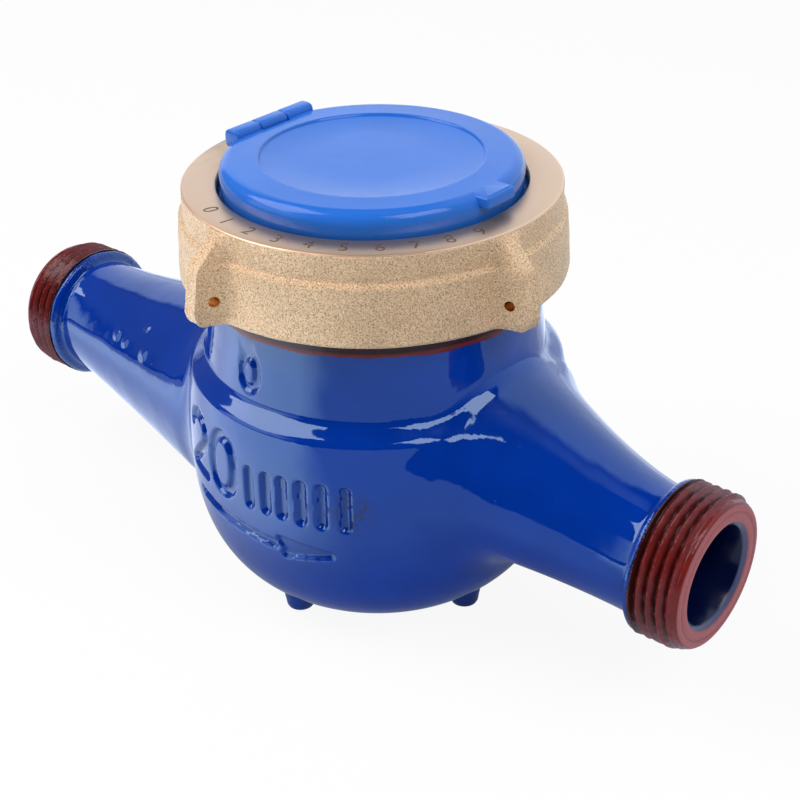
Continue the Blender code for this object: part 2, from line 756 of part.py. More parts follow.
def lug(angle):
    """One cast lug: a rib with a slanted top, wider at its root, on the ring's wall."""
    wall = ring_radius()
    root, reach = wall - LUG_EMBED, wall + LUG_STAND_OUT
    top = ring_top() - RING_EDGE
    foot = ring_top() - RING_HEIGHT
    outline = [(root, top), (wall, top), (reach - LUG_SHOULDER_BACK, ring_top() - LUG_SHOULDER_DROP),
               (reach, foot + LUG_HEEL_HEIGHT), (reach - 0.35 * LUG_HEEL_BACK, foot + 0.3 * LUG_HEEL_HEIGHT),
               (reach - LUG_HEEL_BACK, foot), (root, foot)]
    sides = []
    for side in (-1.0, 1.0):
        face = []
        for radius, height in outline:
            out = (radius - root) / (reach - root)
            half = LUG_ROOT_HALF_WIDTH + (LUG_HALF_WIDTH - LUG_ROOT_HALF_WIDTH) * out ** LUG_WAIST
            face.append((radius, side * half, height))
        sides.append(face)
    return turn(lofted(sides), angle)


def cover_ring():
    """Brass ring screwed on the neck, holding the window down, with drilled lugs."""
    bore = neck_thread_radius() + RING_THREAD_CLEARANCE
    top = ring_top()
    under, foot, step = top - RING_FLANGE, top - RING_HEIGHT, top - RING_BAND
    band, opening = ring_radius(), window_opening()
    outline = [(opening, under), (bore, under), (bore, foot), (band + RING_FOOT_STEP - RING_EDGE, foot),
               (band + RING_FOOT_STEP, foot + RING_EDGE), (band + RING_STEP, step - RING_EDGE),
               (band, step + RING_EDGE), (band, top - RING_EDGE), (band - RING_EDGE, top),
               (opening + RING_EDGE, top), (opening, top - RING_EDGE)]
    ring = add("cover_ring", turned(outline), CAST_BRASS, BOWL)
    angles = [LUG_ANGLE + 360.0 / LUG_COUNT * i for i in range(LUG_COUNT)]
    lugs = add("lugs", gathered([lug(a) for a in angles]), None, BOWL)
    combine(ring, [lugs], "UNION")
    drills = []
    reach = 2.0 * LUG_ROOT_HALF_WIDTH
    for angle in angles:
        drill = turned(disc_outline(SEAL_HOLE_RADIUS, -reach, reach), SMALL_ROUND, "Y")
        place = (ring_radius() + SEAL_HOLE_STAND_OUT, 0.0, foot + SEAL_HOLE_RISE)
        drills.append(turn(shift(drill, place), angle))
    return combine(ring, [add("drills", gathered(drills), None, BOWL)], "DIFFERENCE")


# Window stack: each part rests on the one below with the seat gap


def window():
    """Gasket, thick glass and slip washer that the cover ring holds on the neck."""
    gasket, glass, washer, _ = window_heights()
    radius = neck_thread_radius() + RING_THREAD_CLEARANCE - GLASS_CLEARANCE
    top = glass + GLASS_THICKNESS
    bore = window_opening()
    shade(add("glass_gasket", turned(disc_outline(radius, gasket, gasket + GASKET_THICKNESS, bore),
                                     ROUND_INNER), BLACK_RUBBER, BOWL))
    pane = [(0.0, glass), (radius - GLASS_BEVEL, glass), (radius, glass + GLASS_BEVEL),
            (radius, top - GLASS_BEVEL), (radius - GLASS_BEVEL, top), (0.0, top)]
    shade(add("cover_glass", turned(pane, ROUND_INNER), CLEAR_GLASS, BOWL))
    shade(add("slip_washer", turned(disc_outline(radius, washer, washer + WASHER_THICKNESS, bore),
                                    ROUND_INNER), WHITE_PLASTIC, BOWL))


# Lid, its seat and the hinge


def knuckle(start, end):
    """A hinge barrel between two places along the hinge."""
    barrel = turned(disc_outline(KNUCKLE_RADIUS, start, end), KNUCKLE_ROUND, "Y")
    return shift(barrel, (hinge_x(), 0.0, hinge_height()))


def pin_drill():
    """The hole for the hinge pin, right through the knuckles."""
    reach = KNUCKLE_END + KNUCKLE_RADIUS
    drill = turned(disc_outline(HINGE_PIN_RADIUS + SEAT_GAP, -reach, reach), SMALL_ROUND, "Y")
    return add("pin_drill", shift(drill, (hinge_x(), 0.0, hinge_height())), None, BOWL)


def lid_seat():
    """Plastic ring that the cover ring traps, with the middle knuckle on a bracket."""
    low = window_heights()[3]
    shelf = low + SEAT_FLANGE
    rim = shelf + SEAT_RIM
    radius = neck_thread_radius() + RING_THREAD_CLEARANCE - GLASS_CLEARANCE
    inner = window_opening() - 2.0 * SEAT_GAP
    opening = lid_radius() - SEAT_REACH
    outline = [(opening, low), (radius, low), (radius, shelf), (inner, shelf), (inner, rim),
               (opening, rim)]
    seat = add("lid_seat", turned(outline), BLUE_PLASTIC, BOWL)
    half = KNUCKLE_SPLIT - SEAT_GAP
    bracket = box((hinge_x() - 0.6 * KNUCKLE_RADIUS, -half, 0.5 * (low + shelf)),
                  (hinge_x() + 0.5 * KNUCKLE_RADIUS, half, hinge_height() - 0.4 * KNUCKLE_RADIUS))
    combine(seat, [add("bracket", bracket, None, BOWL), add("barrel", knuckle(-half, half), None, BOWL)],
            "UNION")
    combine(seat, [pin_drill()], "DIFFERENCE")
    return seat


def lid():
    """Dished lid with a rolled rim, recess, thumb tab and the two outer knuckles."""
    rim = window_heights()[3] + SEAT_FLANGE + SEAT_RIM + SEAT_GAP
    top = lid_top()
    face = top - LID_RECESS_DEPTH
    ceiling = face - LID_SHEET
    radius = lid_radius()
    roll = arc((radius - LID_ROLL, top - LID_ROLL), LID_ROLL, 0.0, 90.0, 5)
    inner, recess = radius - LID_SKIRT, radius - LID_RIM
    outline = [(0.0, ceiling), (inner - LID_ROLL, ceiling), (inner, ceiling - 0.6 * LID_ROLL), (inner, rim),
               (radius - LID_EDGE, rim), (radius, rim + LID_EDGE)]
    outline += roll + [(recess + LID_RECESS_DEPTH, top), (recess, face), (0.0, face)]
    cover = add("lid", turned(outline), BLUE_PLASTIC, BOWL)
    heel = KNUCKLE_END + LID_EDGE + SEAT_GAP
    behind = hinge_x() - 2.0 * KNUCKLE_RADIUS
    height = hinge_height()
    clear_skirt = box((behind, -heel, rim - KNUCKLE_RADIUS),
                      (hinge_x() + SKIRT_CLEARANCE, heel, height - KNUCKLE_RADIUS))
    chord = box((behind, -heel, rim - 2.0 * KNUCKLE_RADIUS), (hinge_x(), heel, top + KNUCKLE_RADIUS))
    combine(cover, [add("skirt_clearance", clear_skirt, None, BOWL), add("chord", chord, None, BOWL)],
            "DIFFERENCE")
    joined = []
    for start, end in ((-KNUCKLE_END, -KNUCKLE_SPLIT), (KNUCKLE_SPLIT, KNUCKLE_END)):
        web = box((hinge_x(), start, height - 0.55 * KNUCKLE_RADIUS),
                  (hinge_x() + 2.5 * KNUCKLE_RADIUS, end, top - 0.2 * LID_RECESS_DEPTH))
        joined += [add("barrel", knuckle(start, end), None, BOWL), add("web", web, None, BOWL)]
    root, reach, nose = radius - TAB_HALF_WIDTH, radius + TAB_LENGTH, 0.6 * TAB_HALF_WIDTH
    corner = reach - 0.4 * nose
    wide, narrow = 1.25 * TAB_HALF_WIDTH, TAB_HALF_WIDTH
    tab = extruded([(root, -wide), (corner, -narrow), (reach, -nose), (reach, nose), (corner, narrow),
                    (root, wide)], top - TAB_DROP - TAB_THICKNESS, top - TAB_DROP)
    joined.append(add("tab", tab, None, BOWL))
    combine(cover, joined, "UNION")
    notch = box((behind, -KNUCKLE_SPLIT, rim - KNUCKLE_RADIUS),
                (hinge_x() + KNUCKLE_RADIUS + SEAT_GAP, KNUCKLE_SPLIT, top + 2.0 * KNUCKLE_RADIUS))
    combine(cover, [add("notch", notch, None, BOWL), pin_drill()], "DIFFERENCE")
    move_origin(cover, (hinge_x(), 0.0, height))
    return cover


def move_origin(item, point):
    """Put an object's origin on a point of its parent's frame."""
    item.data.transform(Matrix.Translation(-Vector(point)))
    item.location = point


def hinge_pin():
    """Steel pin through the three knuckles."""
    reach = KNUCKLE_END - HINGE_PIN_INSET
    pin = turned(disc_outline(HINGE_PIN_RADIUS, -reach, reach), SMALL_ROUND, "Y")
    return add("hinge_pin", shift(pin, (hinge_x(), 0.0, hinge_height())), STAINLESS, BOWL)


# Measuring chamber and what turns in it


def jets(heights, skew):
    """Slots cut slanting through the chamber wall, all one way round."""
    slots = []
    reach = chamber_bore() + 0.5 * CHAMBER_WALL
    for i in range(JET_COUNT):
        half = 2.5 * CHAMBER_WALL
        slot = box((-half, -0.5 * JET_WIDTH, heights[0]), (half, 0.5 * JET_WIDTH, heights[1]))
        slots.append(turn(shift(turn(slot, skew), (reach, 0.0, 0.0)), 360.0 / JET_COUNT * i))
    return slots


def measuring_chamber():
    """Cup with a low row of inlet jets, a high row of outlet jets and a seat flange."""
    outer = chamber_bore() + CHAMBER_WALL
    flange = LEDGE_HEIGHT + 2.0 * SEAT_GAP + CHAMBER_GASKET
    under = chamber_floor() - CHAMBER_SHEET
    outline = [(0.0, under), (outer, under), (outer, flange),
               (NECK_BORE - CUP_CLEARANCE, flange), (NECK_BORE - CUP_CLEARANCE, flange + CHAMBER_FLANGE),
               (outer, flange + CHAMBER_FLANGE), (outer, CHAMBER_TOP), (chamber_bore(), CHAMBER_TOP),
               (chamber_bore(), chamber_floor()), (0.0, chamber_floor())]
    chamber = add("measuring_chamber", turned(outline, ROUND_INNER), WHITE_PLASTIC, BOWL)
    slots = jets(inlet_jets(), JET_SKEW) + jets(OUTLET_JETS, -JET_SKEW)
    combine(chamber, [add("jets", gathered(slots), None, BOWL)], "DIFFERENCE")
    gasket = disc_outline(NECK_BORE - CUP_CLEARANCE, LEDGE_HEIGHT + SEAT_GAP,
                          LEDGE_HEIGHT + SEAT_GAP + CHAMBER_GASKET, ledge_bore() + SEAT_GAP)
    shade(add("chamber_gasket", turned(gasket, ROUND_INNER), BLACK_RUBBER, BOWL))
    cover = disc_outline(outer, CHAMBER_TOP + SEAT_GAP, CHAMBER_TOP + SEAT_GAP + COVER_SHEET,
                         SPINDLE_RADIUS + SEAT_GAP)
    shade(add("chamber_cover", turned(cover, ROUND_INNER), WHITE_PLASTIC, BOWL))
    return chamber


def chamber_strainer():
    """Slotted cup that hangs round the lower half of the chamber."""
    bore = chamber_bore() + CHAMBER_WALL + SEAT_GAP
    wall = bore + STRAINER_WALL
    top = LEDGE_HEIGHT + SEAT_GAP + CHAMBER_GASKET
    floor = chamber_floor() - CHAMBER_SHEET - SEAT_GAP
    outline = [(0.0, floor - STRAINER_WALL), (wall, floor - STRAINER_WALL), (wall, top), (bore, top),
               (bore, floor), (0.0, floor)]
    strainer = add("chamber_strainer", turned(outline, 2 * STRAINER_SLOTS), GREY_PLASTIC, BOWL)
    slots = []
    half = 0.5 * STRAINER_SLOT_WIDTH
    slot_low, slot_high = inlet_jets()
    for i in range(STRAINER_SLOTS):
        slot = box((bore - STRAINER_WALL, -half, slot_low), (wall + STRAINER_WALL, half, slot_high))
        slots.append(turn(slot, 360.0 / STRAINER_SLOTS * (i + 0.5)))
    return combine(strainer, [add("slots", gathered(slots), None, BOWL)], "DIFFERENCE")


def inlet_strainer():
    """Tapered, slotted thimble in the inlet bore, open towards the pipe."""
    start = -0.5 * LENGTH + INLET_STRAINER_DEPTH
    collar = start + INLET_STRAINER_COLLAR
    tip = start + INLET_STRAINER_LENGTH
    wide = BORE_RADIUS - SEAT_GAP
    cone = wide - 0.8 * STRAINER_WALL
    bore = cone - STRAINER_WALL
    outline = [(0.0, tip), (INLET_STRAINER_TIP, tip), (cone, collar), (wide, collar), (wide, start),
               (bore, start), (bore, collar), (INLET_STRAINER_TIP - STRAINER_WALL, tip - STRAINER_WALL),
               (0.0, tip - STRAINER_WALL)]
    thimble = add("inlet_strainer", turned(outline, 2 * SMALL_ROUND, "X"), GREY_PLASTIC, PIPE)
    half = 0.5 * INLET_STRAINER_SLOT
    cutters = []
    for i in range(INLET_STRAINER_SLOT_PAIRS):
        slot = box((collar + 2.0 * half, -half, -BORE_RADIUS), (tip - 2.0 * STRAINER_WALL, half, BORE_RADIUS))
        spin = Matrix.Rotation(math.pi / INLET_STRAINER_SLOT_PAIRS * i, 3, "X")
        bmesh.ops.rotate(slot, verts=slot.verts, matrix=spin)
        cutters.append(add("slot", slot, None, PIPE))
    return combine(thimble, cutters, "DIFFERENCE")


def impeller():
    """Hub with straight vanes, a blind socket for the pivot and a spindle with a pinion."""
    foot = chamber_floor() + IMPELLER_RISE
    hub = turned([(0.0, foot), (IMPELLER_HUB, foot), (IMPELLER_HUB, IMPELLER_TOP),
                  (SPINDLE_RADIUS, IMPELLER_TOP + 2.0 * SPINDLE_RADIUS), (SPINDLE_RADIUS, gear_height(0)),
                  (0.0, gear_height(0))], 16)
    wheel = add("impeller", hub, WHITE_PLASTIC, BOWL)
    vanes = []
    reach = chamber_bore() - IMPELLER_CLEARANCE
    for i in range(IMPELLER_VANES):
        vane = box((0.4 * IMPELLER_HUB, -0.5 * VANE_THICKNESS, foot + VANE_INSET),
                   (reach, 0.5 * VANE_THICKNESS, IMPELLER_TOP - VANE_INSET))
        vanes.append(add("vane", turn(vane, 360.0 / IMPELLER_VANES * i), None, BOWL))
    combine(wheel, vanes, "UNION")
    pinion = gear(PINION_TEETH, gear_height(0) - GEAR_EMBED, gear_height(0) + GEAR_FACE, pinion_phase(0))
    combine(wheel, [add("pinion", pinion, None, BOWL)], "UNION")
    socket_top = chamber_floor() + SEAT_GAP + PIVOT_FLANGE + PIVOT_HEIGHT + SEAT_GAP
    socket = turned(disc_outline(PIVOT_RADIUS + SEAT_GAP, foot - PIVOT_RADIUS, socket_top), SMALL_ROUND)
    return combine(wheel, [add("socket", socket, None, BOWL)], "DIFFERENCE")


def pivot_pin():
    """Steel pivot on the chamber floor."""
    low = chamber_floor() + SEAT_GAP
    shelf = low + PIVOT_FLANGE
    bevel = 0.4 * PIVOT_RADIUS
    outline = [(0.0, low), (PIVOT_FLANGE_RADIUS, low), (PIVOT_FLANGE_RADIUS, shelf - bevel),
               (PIVOT_FLANGE_RADIUS - bevel, shelf), (PIVOT_RADIUS, shelf),
               (PIVOT_RADIUS, shelf + PIVOT_HEIGHT - bevel), (0.0, shelf + PIVOT_HEIGHT)]
    return add("pivot_pin", turned(outline, SMALL_ROUND), STAINLESS, BOWL)


# Decade train: every arbor carries a wheel one step below its pinion, so that the
# train climbs like a stair from the spindle to the last pointer


def gear(teeth, low, high, phase):
    """A spur gear with straight-sided teeth, one tooth centred on the phase angle."""
    pitch = 0.5 * GEAR_MODULE * teeth
    tip = pitch + GEAR_ADDENDUM * GEAR_MODULE
    root = pitch - GEAR_DEDENDUM * GEAR_MODULE
    step = 360.0 / teeth
    outline = []
    for i in range(teeth):
        for share, radius in ((-TOOTH_ROOT_SHARE, root), (-TOOTH_TIP_SHARE, tip),
                              (TOOTH_TIP_SHARE, tip), (TOOTH_ROOT_SHARE, root)):
            outline.append(polar(radius, phase + step * (i + 0.5 * share)))
    return extruded(outline, low, high)


def arbor_places():
    """Name, wheel teeth and (x, y) of the spindle and of each arbor after it, in order."""
    places = [("impeller", 0, (0.0, 0.0))]
    wheel_tip = 0.5 * GEAR_MODULE * WHEEL_TEETH + GEAR_ADDENDUM * GEAR_MODULE
    circle = plate_radius() - wheel_tip - POINTER_EDGE
    angle_step = 2.0 * math.degrees(math.asin((wheel_tip + 0.5 * POINTER_CLEARANCE) / circle))
    pointers = [polar(circle, FIRST_POINTER_ANGLE + angle_step * i) for i in range(DECADES)]
    here = places[0][2]
    for i, target in enumerate(pointers):
        side = 1.0 if i == 0 else -1.0
        name = "star_arbor" if i == 0 else f"idler_arbor_{i}"
        places.append((name, IDLER_TEETH, third_point(here, target, side)))
        places.append((f"pointer_arbor_{i + 1}", WHEEL_TEETH, target))
        here = target
    return places


def third_point(start, end, side):
    """Where an idler meshes with the pinion at start and the wheel at end."""
    first, second = centre_distance(IDLER_TEETH), centre_distance(WHEEL_TEETH)
    span = math.dist(start, end)
    along = (first * first - second * second + span * span) / (2.0 * span)
    off = side * math.sqrt(max(first * first - along * along, 0.0))
    ux, uy = (end[0] - start[0]) / span, (end[1] - start[1]) / span
    return start[0] + along * ux - off * uy, start[1] + along * uy + off * ux


def centre_distance(teeth):
    """Distance between a pinion and a wheel in mesh."""
    return 0.5 * GEAR_MODULE * (PINION_TEETH + teeth)


def bearing(start, end):
    """Direction in degrees from one place to another."""
    return math.degrees(math.atan2(end[1] - start[1], end[0] - start[0]))


def pinion_phase(index):
    """A pinion's tooth points at the arbor that it drives."""
    places = arbor_places()
    if index + 1 < len(places):
        return bearing(places[index][2], places[index + 1][2])
    return 0.0


def arbors():
    """The arbors after the spindle, each with its wheel, its pinion and a thin shaft."""
    places = arbor_places()
    top = dial_top() + SEAT_GAP
    for index, (name, teeth, place) in enumerate(places[1:], start=1):
        low = gear_height(index - 1)
        towards_driver = bearing(place, places[index - 1][2])
        wheel = gear(teeth, low, low + GEAR_FACE, towards_driver + 180.0 / teeth)
        pinion = gear(PINION_TEETH, low + GEAR_FACE - GEAR_EMBED, gear_height(index) + GEAR_FACE,
                      pinion_phase(index))
        reach = top if name.startswith(("pointer", "star")) else upper_plate_height() + PLATE_THICKNESS
        shaft = turned(disc_outline(ARBOR_RADIUS, LOWER_PLATE_HEIGHT, reach), SHAFT_SIDES)
        arbor = add(name, shift(wheel, (*place, 0.0)), WHITE_PLASTIC, BOWL)
        more = [add("pinion", shift(pinion, (*place, 0.0)), None, BOWL),
                add("shaft", shift(shaft, (*place, 0.0)), None, BOWL)]
        combine(arbor, more, "UNION")
        move_origin(arbor, (*place, 0.0))


def pointers():
    """Red pointers and the leak star on the arbors' upper ends, above the dial."""
    low = dial_top() + 2.0 * SEAT_GAP
    high = low + POINTER_THICKNESS
    for name, _, place in arbor_places():
        if name.startswith("pointer"):
            hub = [polar(POINTER_HUB, a) for a in range(60, 301, 30)]
            outline = hub + [(0.55 * POINTER_LENGTH, -0.5 * POINTER_HUB), (POINTER_LENGTH, 0.0),
                             (0.55 * POINTER_LENGTH, 0.5 * POINTER_HUB)]
            made, look = turn(extruded(outline, low, high), 90.0), RED_PLASTIC
            label = name.replace("_arbor", "")
        elif name == "star_arbor":
            outline = [polar(STAR_RADIUS if i % 2 == 0 else 0.5 * STAR_RADIUS, 180.0 / STAR_POINTS * i)
                       for i in range(2 * STAR_POINTS)]
            made, look, label = extruded(outline, low, high), RED_PLASTIC, "leak_star"
        else:
            continue
        add(label, made, look, BOWL, (0.0, 0.0, 0.0)).location = (*place, 0.0)


# Register housing


def register_cup():
    """Cup in the neck that carries the plates and the dial on its rim."""
    low = CHAMBER_TOP + 2.0 * SEAT_GAP + COVER_SHEET
    radius = NECK_BORE - CUP_CLEARANCE
    inner = radius - CUP_WALL
    shoulder = LOWER_PLATE_HEIGHT - SEAT_GAP
    outline = [(SPINDLE_RADIUS + SEAT_GAP, low), (radius, low), (radius, cup_top()), (inner, cup_top()),
               (inner, shoulder), (inner - CUP_SHOULDER, shoulder), (inner - CUP_SHOULDER, low + CUP_SHEET),
               (SPINDLE_RADIUS + SEAT_GAP, low + CUP_SHEET)]
    return add("register_cup", turned(outline, ROUND_INNER), GREY_PLASTIC, BOWL)


def bearing_holes(low, high, names):
    """Drills for the arbors that pass a plate."""
    drills = []
    for name, _, place in arbor_places():
        if not name.startswith(names):
            continue
        shaft = SPINDLE_RADIUS if name == "impeller" else ARBOR_RADIUS
        hole = disc_outline(shaft + BEARING_CLEARANCE, low - PLATE_THICKNESS, high + PLATE_THICKNESS)
        drill = turned(hole, SHAFT_SIDES)
        drills.append(shift(drill, (*place, 0.0)))
    return add("bearing_drills", gathered(drills), None, BOWL)


def plates():
    """Lower plate with its pillars, upper plate and dial, all drilled for the arbors."""
    radius = plate_radius()
    low, high = LOWER_PLATE_HEIGHT, upper_plate_height()
    lower = add("gear_plate_lower", turned(disc_outline(radius, low, low + PLATE_THICKNESS), ROUND_INNER),
                WHITE_PLASTIC, BOWL)
    posts = []
    for place in PILLAR_PLACES:
        post = turned(disc_outline(PILLAR_RADIUS, low + 0.4 * PLATE_THICKNESS, high - SEAT_GAP), SMALL_ROUND)
        posts.append(shift(post, (*polar(*place), 0.0)))
    combine(lower, [add("pillars", gathered(posts), None, BOWL)], "UNION")
    combine(lower, [bearing_holes(low, low + PLATE_THICKNESS, ("impeller", "star", "idler", "pointer"))],
            "DIFFERENCE")
    upper = add("gear_plate_upper", turned(disc_outline(radius, high, high + PLATE_THICKNESS), ROUND_INNER),
                WHITE_PLASTIC, BOWL)
    combine(upper, [bearing_holes(high, high + PLATE_THICKNESS, ("star", "idler", "pointer"))], "DIFFERENCE")
    rim = cup_top() + SEAT_GAP
    dial = add("dial_plate", turned(disc_outline(NECK_BORE - CUP_CLEARANCE, rim, rim + DIAL_THICKNESS),
                                    ROUND_INNER), WHITE_PLASTIC, BOWL)
    combine(dial, [bearing_holes(rim, rim + DIAL_THICKNESS, ("star", "pointer"))], "DIFFERENCE")


clear_scene()
PIPE = empty("pipe_axis", (0.0, 0.0, axis_height()))
BOWL = empty("bowl_axis", (BOWL_X, 0.0, axis_height()))

shade(casting())
shade(cover_ring())
window()
shade(lid_seat())
shade(lid())
shade(hinge_pin())
shade(measuring_chamber())
shade(chamber_strainer())
shade(inlet_strainer())
impeller()
shade(pivot_pin())
arbors()
pointers()
shade(register_cup())
plates()
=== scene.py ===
"""Cold water meter of 20 mm bore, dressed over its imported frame.

Shapes are worked out in millimetres. Radii are measured from the upright axis of
the bowl, heights from the pipe axis and places along the meter from mid-length,
and every piece is put into the frame's metres as it is made.
"""

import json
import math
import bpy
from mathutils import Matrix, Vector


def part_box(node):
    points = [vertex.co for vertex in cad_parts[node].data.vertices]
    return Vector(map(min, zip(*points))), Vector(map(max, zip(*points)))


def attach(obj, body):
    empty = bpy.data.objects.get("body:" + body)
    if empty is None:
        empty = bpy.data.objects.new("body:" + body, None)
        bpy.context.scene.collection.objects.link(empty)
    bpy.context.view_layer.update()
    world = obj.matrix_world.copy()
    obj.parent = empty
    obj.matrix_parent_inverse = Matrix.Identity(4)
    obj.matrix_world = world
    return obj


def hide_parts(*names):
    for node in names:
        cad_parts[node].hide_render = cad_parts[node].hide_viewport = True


bl_info = {
    "name": "Water Meter",
    "version": (1, 0, 0),
    "blender": (4, 5, 0),
    "location": "3D View > Sidebar > Water Meter",
    "description": "Builds the enamelled casting, brass ring, lid and dial of a water meter",
    "category": "Add Mesh",
}

import bpy
import numpy as np
from mathutils import Matrix

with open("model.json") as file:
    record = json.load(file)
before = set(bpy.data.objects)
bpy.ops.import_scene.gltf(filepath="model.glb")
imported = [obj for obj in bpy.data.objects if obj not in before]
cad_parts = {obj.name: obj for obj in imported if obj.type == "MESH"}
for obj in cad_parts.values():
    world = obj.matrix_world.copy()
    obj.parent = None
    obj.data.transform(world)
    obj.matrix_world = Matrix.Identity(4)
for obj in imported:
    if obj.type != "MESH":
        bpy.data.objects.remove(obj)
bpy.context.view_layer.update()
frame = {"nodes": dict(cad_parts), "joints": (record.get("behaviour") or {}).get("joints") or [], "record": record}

MM = 0.001


def node_span(name):
    """Lowest and highest corner of a frame node, in millimetres."""
    low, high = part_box(name)
    return np.array(low) / MM, np.array(high) / MM


PIPE_HEIGHT = float(np.mean([corner[2] for corner in node_span("inlet_strainer")]))
BOWL_X = float(np.mean([corner[0] for corner in node_span("cover_glass")]))
HALF_LENGTH = float(node_span("body_casting")[1][0])
PIPE = np.array([0.0, 0.0, PIPE_HEIGHT])
BOWL = np.array([BOWL_X, 0.0, PIPE_HEIGHT])


def node_levels(name):
    """Bottom and top of a frame node above the pipe axis."""
    return [float(corner[2]) - PIPE_HEIGHT for corner in node_span(name)]


RING_FOOT, RING_TOP = node_levels("cover_ring")
LID_RIM = node_levels("lid")[0]
HINGE_LEVEL = frame["joints"][0]["pos_m"][2] / MM - PIPE_HEIGHT


# Sizes and colours that a user would change


def length(name, description, default):
    """A length property, given in millimetres."""
    return bpy.props.FloatProperty(name=name, description=description, default=default * MM,
                                   unit="LENGTH", subtype="DISTANCE", precision=5)


def colour(name, description, default):
    """A colour property, in linear values."""
    return bpy.props.FloatVectorProperty(name=name, description=description, default=default,
                                         size=3, min=0.0, max=1.0, subtype="COLOR")


class WaterMeterSizes(bpy.types.PropertyGroup):
    """Sizes of the meter's fine details."""
    relief_height: length("Relief height", "How far the cast marks stand off the bowl", 1.15)
    relief_half_width: length("Relief half width", "Half the width of a mark's stroke", 1.65)
    thread_radius: length("Thread radius", "Crest radius of the pipe threads", 16.6)
    thread_pitch: length("Thread pitch", "Distance from crest to crest", 2.309)
    thread_depth: length("Thread depth", "Depth of the pipe threads under the paint", 1.35)
    bore_radius: length("Bore radius", "Radius of the inlet and outlet bores", 10.4)
    seal_hole_radius: length("Seal hole radius", "Radius of the holes in the lugs", 1.05)
    lid_recess: length("Lid recess", "Depth of the round recess in the lid", 0.5)
    floor_size: length("Floor size", "Edge of the pale floor", 6000.0)
    lamp_distance: length("Lamp distance", "Distance of the lamps from the meter", 900.0)


class WaterMeterColours(bpy.types.PropertyGroup):
    """Colours of the meter's finishes."""
    enamel: colour("Enamel", "Blue enamel of the casting", (0.0005, 0.035, 0.335))
    primer: colour("Primer", "Red-brown primer on the threads", (0.13, 0.011, 0.010))
    # The worn primer colour also paints the glints along the thread crests.
    worn_primer: colour("Worn primer", "Primer rubbed pale on the ends", (0.36, 0.115, 0.12))
    brass: colour("Cast brass", "Shot-blasted brass of the cover ring", (0.84, 0.62, 0.37))
    machined_brass: colour("Machined brass", "Turned top face of the ring", (0.77, 0.54, 0.35))
    lid: colour("Lid", "Blue plastic of the lid", (0.022, 0.165, 0.66))
    print_ink: colour("Ink", "Print on the dial", (0.015, 0.015, 0.018))
    pointer: colour("Pointer", "Red of the pointers and the leak star", (0.62, 0.02, 0.015))


def size(name):
    """One of the sizes above, in millimetres."""
    return getattr(bpy.context.scene.water_meter_sizes, name) / MM


# Shape tools


def ease(value, low=0.0, high=1.0):
    """Smoothstep from 0 at low to 1 at high."""
    t = np.clip((value - low) / (high - low), 0.0, 1.0)
    return t * t * (3.0 - 2.0 * t)


def blended(a, b, reach):
    """Smooth union of two distances: the smaller, less a fillet where they are within reach."""
    share = np.clip(0.5 + 0.5 * (b - a) / reach, 0.0, 1.0)
    return b + (a - b) * share - reach * share * (1.0 - share)


def full_turn(steps):
    """Angles once round, without the last."""
    return 2 * np.pi * np.arange(steps) / steps


def arc(centre, radius, start, end, steps):
    """Points on a circle from one angle in degrees to another."""
    angle = np.radians(np.linspace(start, end, steps + 1))
    return np.stack([centre[0] + radius * np.cos(angle), centre[1] + radius * np.sin(angle)], axis=1)


def squarish(angle, power):
    """Cosine and sine with their sizes raised to a power, which squares the circle."""
    return [np.sign(part) * np.abs(part) ** power for part in (np.cos(angle), np.sin(angle))]


def rounded(outline, cut, steps=3):
    """An outline whose corners are cut back and bent along a quadratic curve through them."""
    outline = np.array(outline, float)
    ways = [np.roll(outline, turn, axis=0) - outline for turn in (1, -1)]
    first, last = [outline + way / np.linalg.norm(way, axis=1, keepdims=True) * cut for way in ways]
    t = np.linspace(0.0, 1.0, steps + 1)[None, :, None]
    curve = (1 - t) ** 2 * first[:, None] + 2 * t * (1 - t) * outline[:, None] + t ** 2 * last[:, None]
    return curve.reshape(-1, 2)


def grid_of(x, y, z):
    """Three coordinates that fit together, as one grid of points."""
    return np.stack(np.broadcast_arrays(x, y, z), axis=-1)


def carried(radius, around, height, axis="Z"):
    """Points round an axis: radius times the cosine and sine of the angle, at a height."""
    across, up = radius * np.cos(around), radius * np.sin(around)
    return grid_of(*{"Z": (across, up, height), "X": (height, across, up), "Y": (up, height, across)}[axis])


def signed_volume(points, faces):
    """Six times the volume inside closed faces, negative where they face inwards."""
    corners = points[faces]
    return sum(np.einsum("ij,ij->", corners[:, 0], np.cross(corners[:, i], corners[:, i + 1]))
               for i in range(1, faces.shape[1] - 1))


def closed_surface(points, along=False):
    """Vertices and faces of a closed surface from a grid of rows by columns, which closes round
    its columns. Its rows close too where asked, and otherwise each end row gets a fan of
    triangles to its middle."""
    rows, columns = points.shape[:2]
    flat = points.reshape(-1, 3)
    row, left = np.meshgrid(np.arange(rows if along else rows - 1), np.arange(columns), indexing="ij")
    low, high, right = row * columns, (row + 1) % rows * columns, (left + 1) % columns
    quads = np.stack([low + left, low + right, high + right, high + left], axis=-1).reshape(-1, 4)
    fans = np.zeros((0, 3), int)
    if not along:
        flat = np.concatenate([flat, points[[0, -1]].mean(axis=1)])
        first = np.arange(columns)
        second, middle, last = (first + 1) % columns, np.full(columns, rows * columns), (rows - 1) * columns
        fans = np.concatenate([np.stack([second, first, middle], axis=1),
                               np.stack([last + first, last + second, middle + 1], axis=1)])
    if signed_volume(flat, quads) + signed_volume(flat, fans) < 0:
        quads, fans = quads[:, ::-1], fans[:, ::-1]
    return flat, quads.tolist() + fans.tolist()


def joined(parts):
    """Several (vertices, faces) surfaces as one."""
    points, faces, start = [], [], 0
    for some, their in parts:
        points.append(some)
        faces += [[corner + start for corner in face] for face in their]
        start += len(some)
    return np.concatenate(points), faces


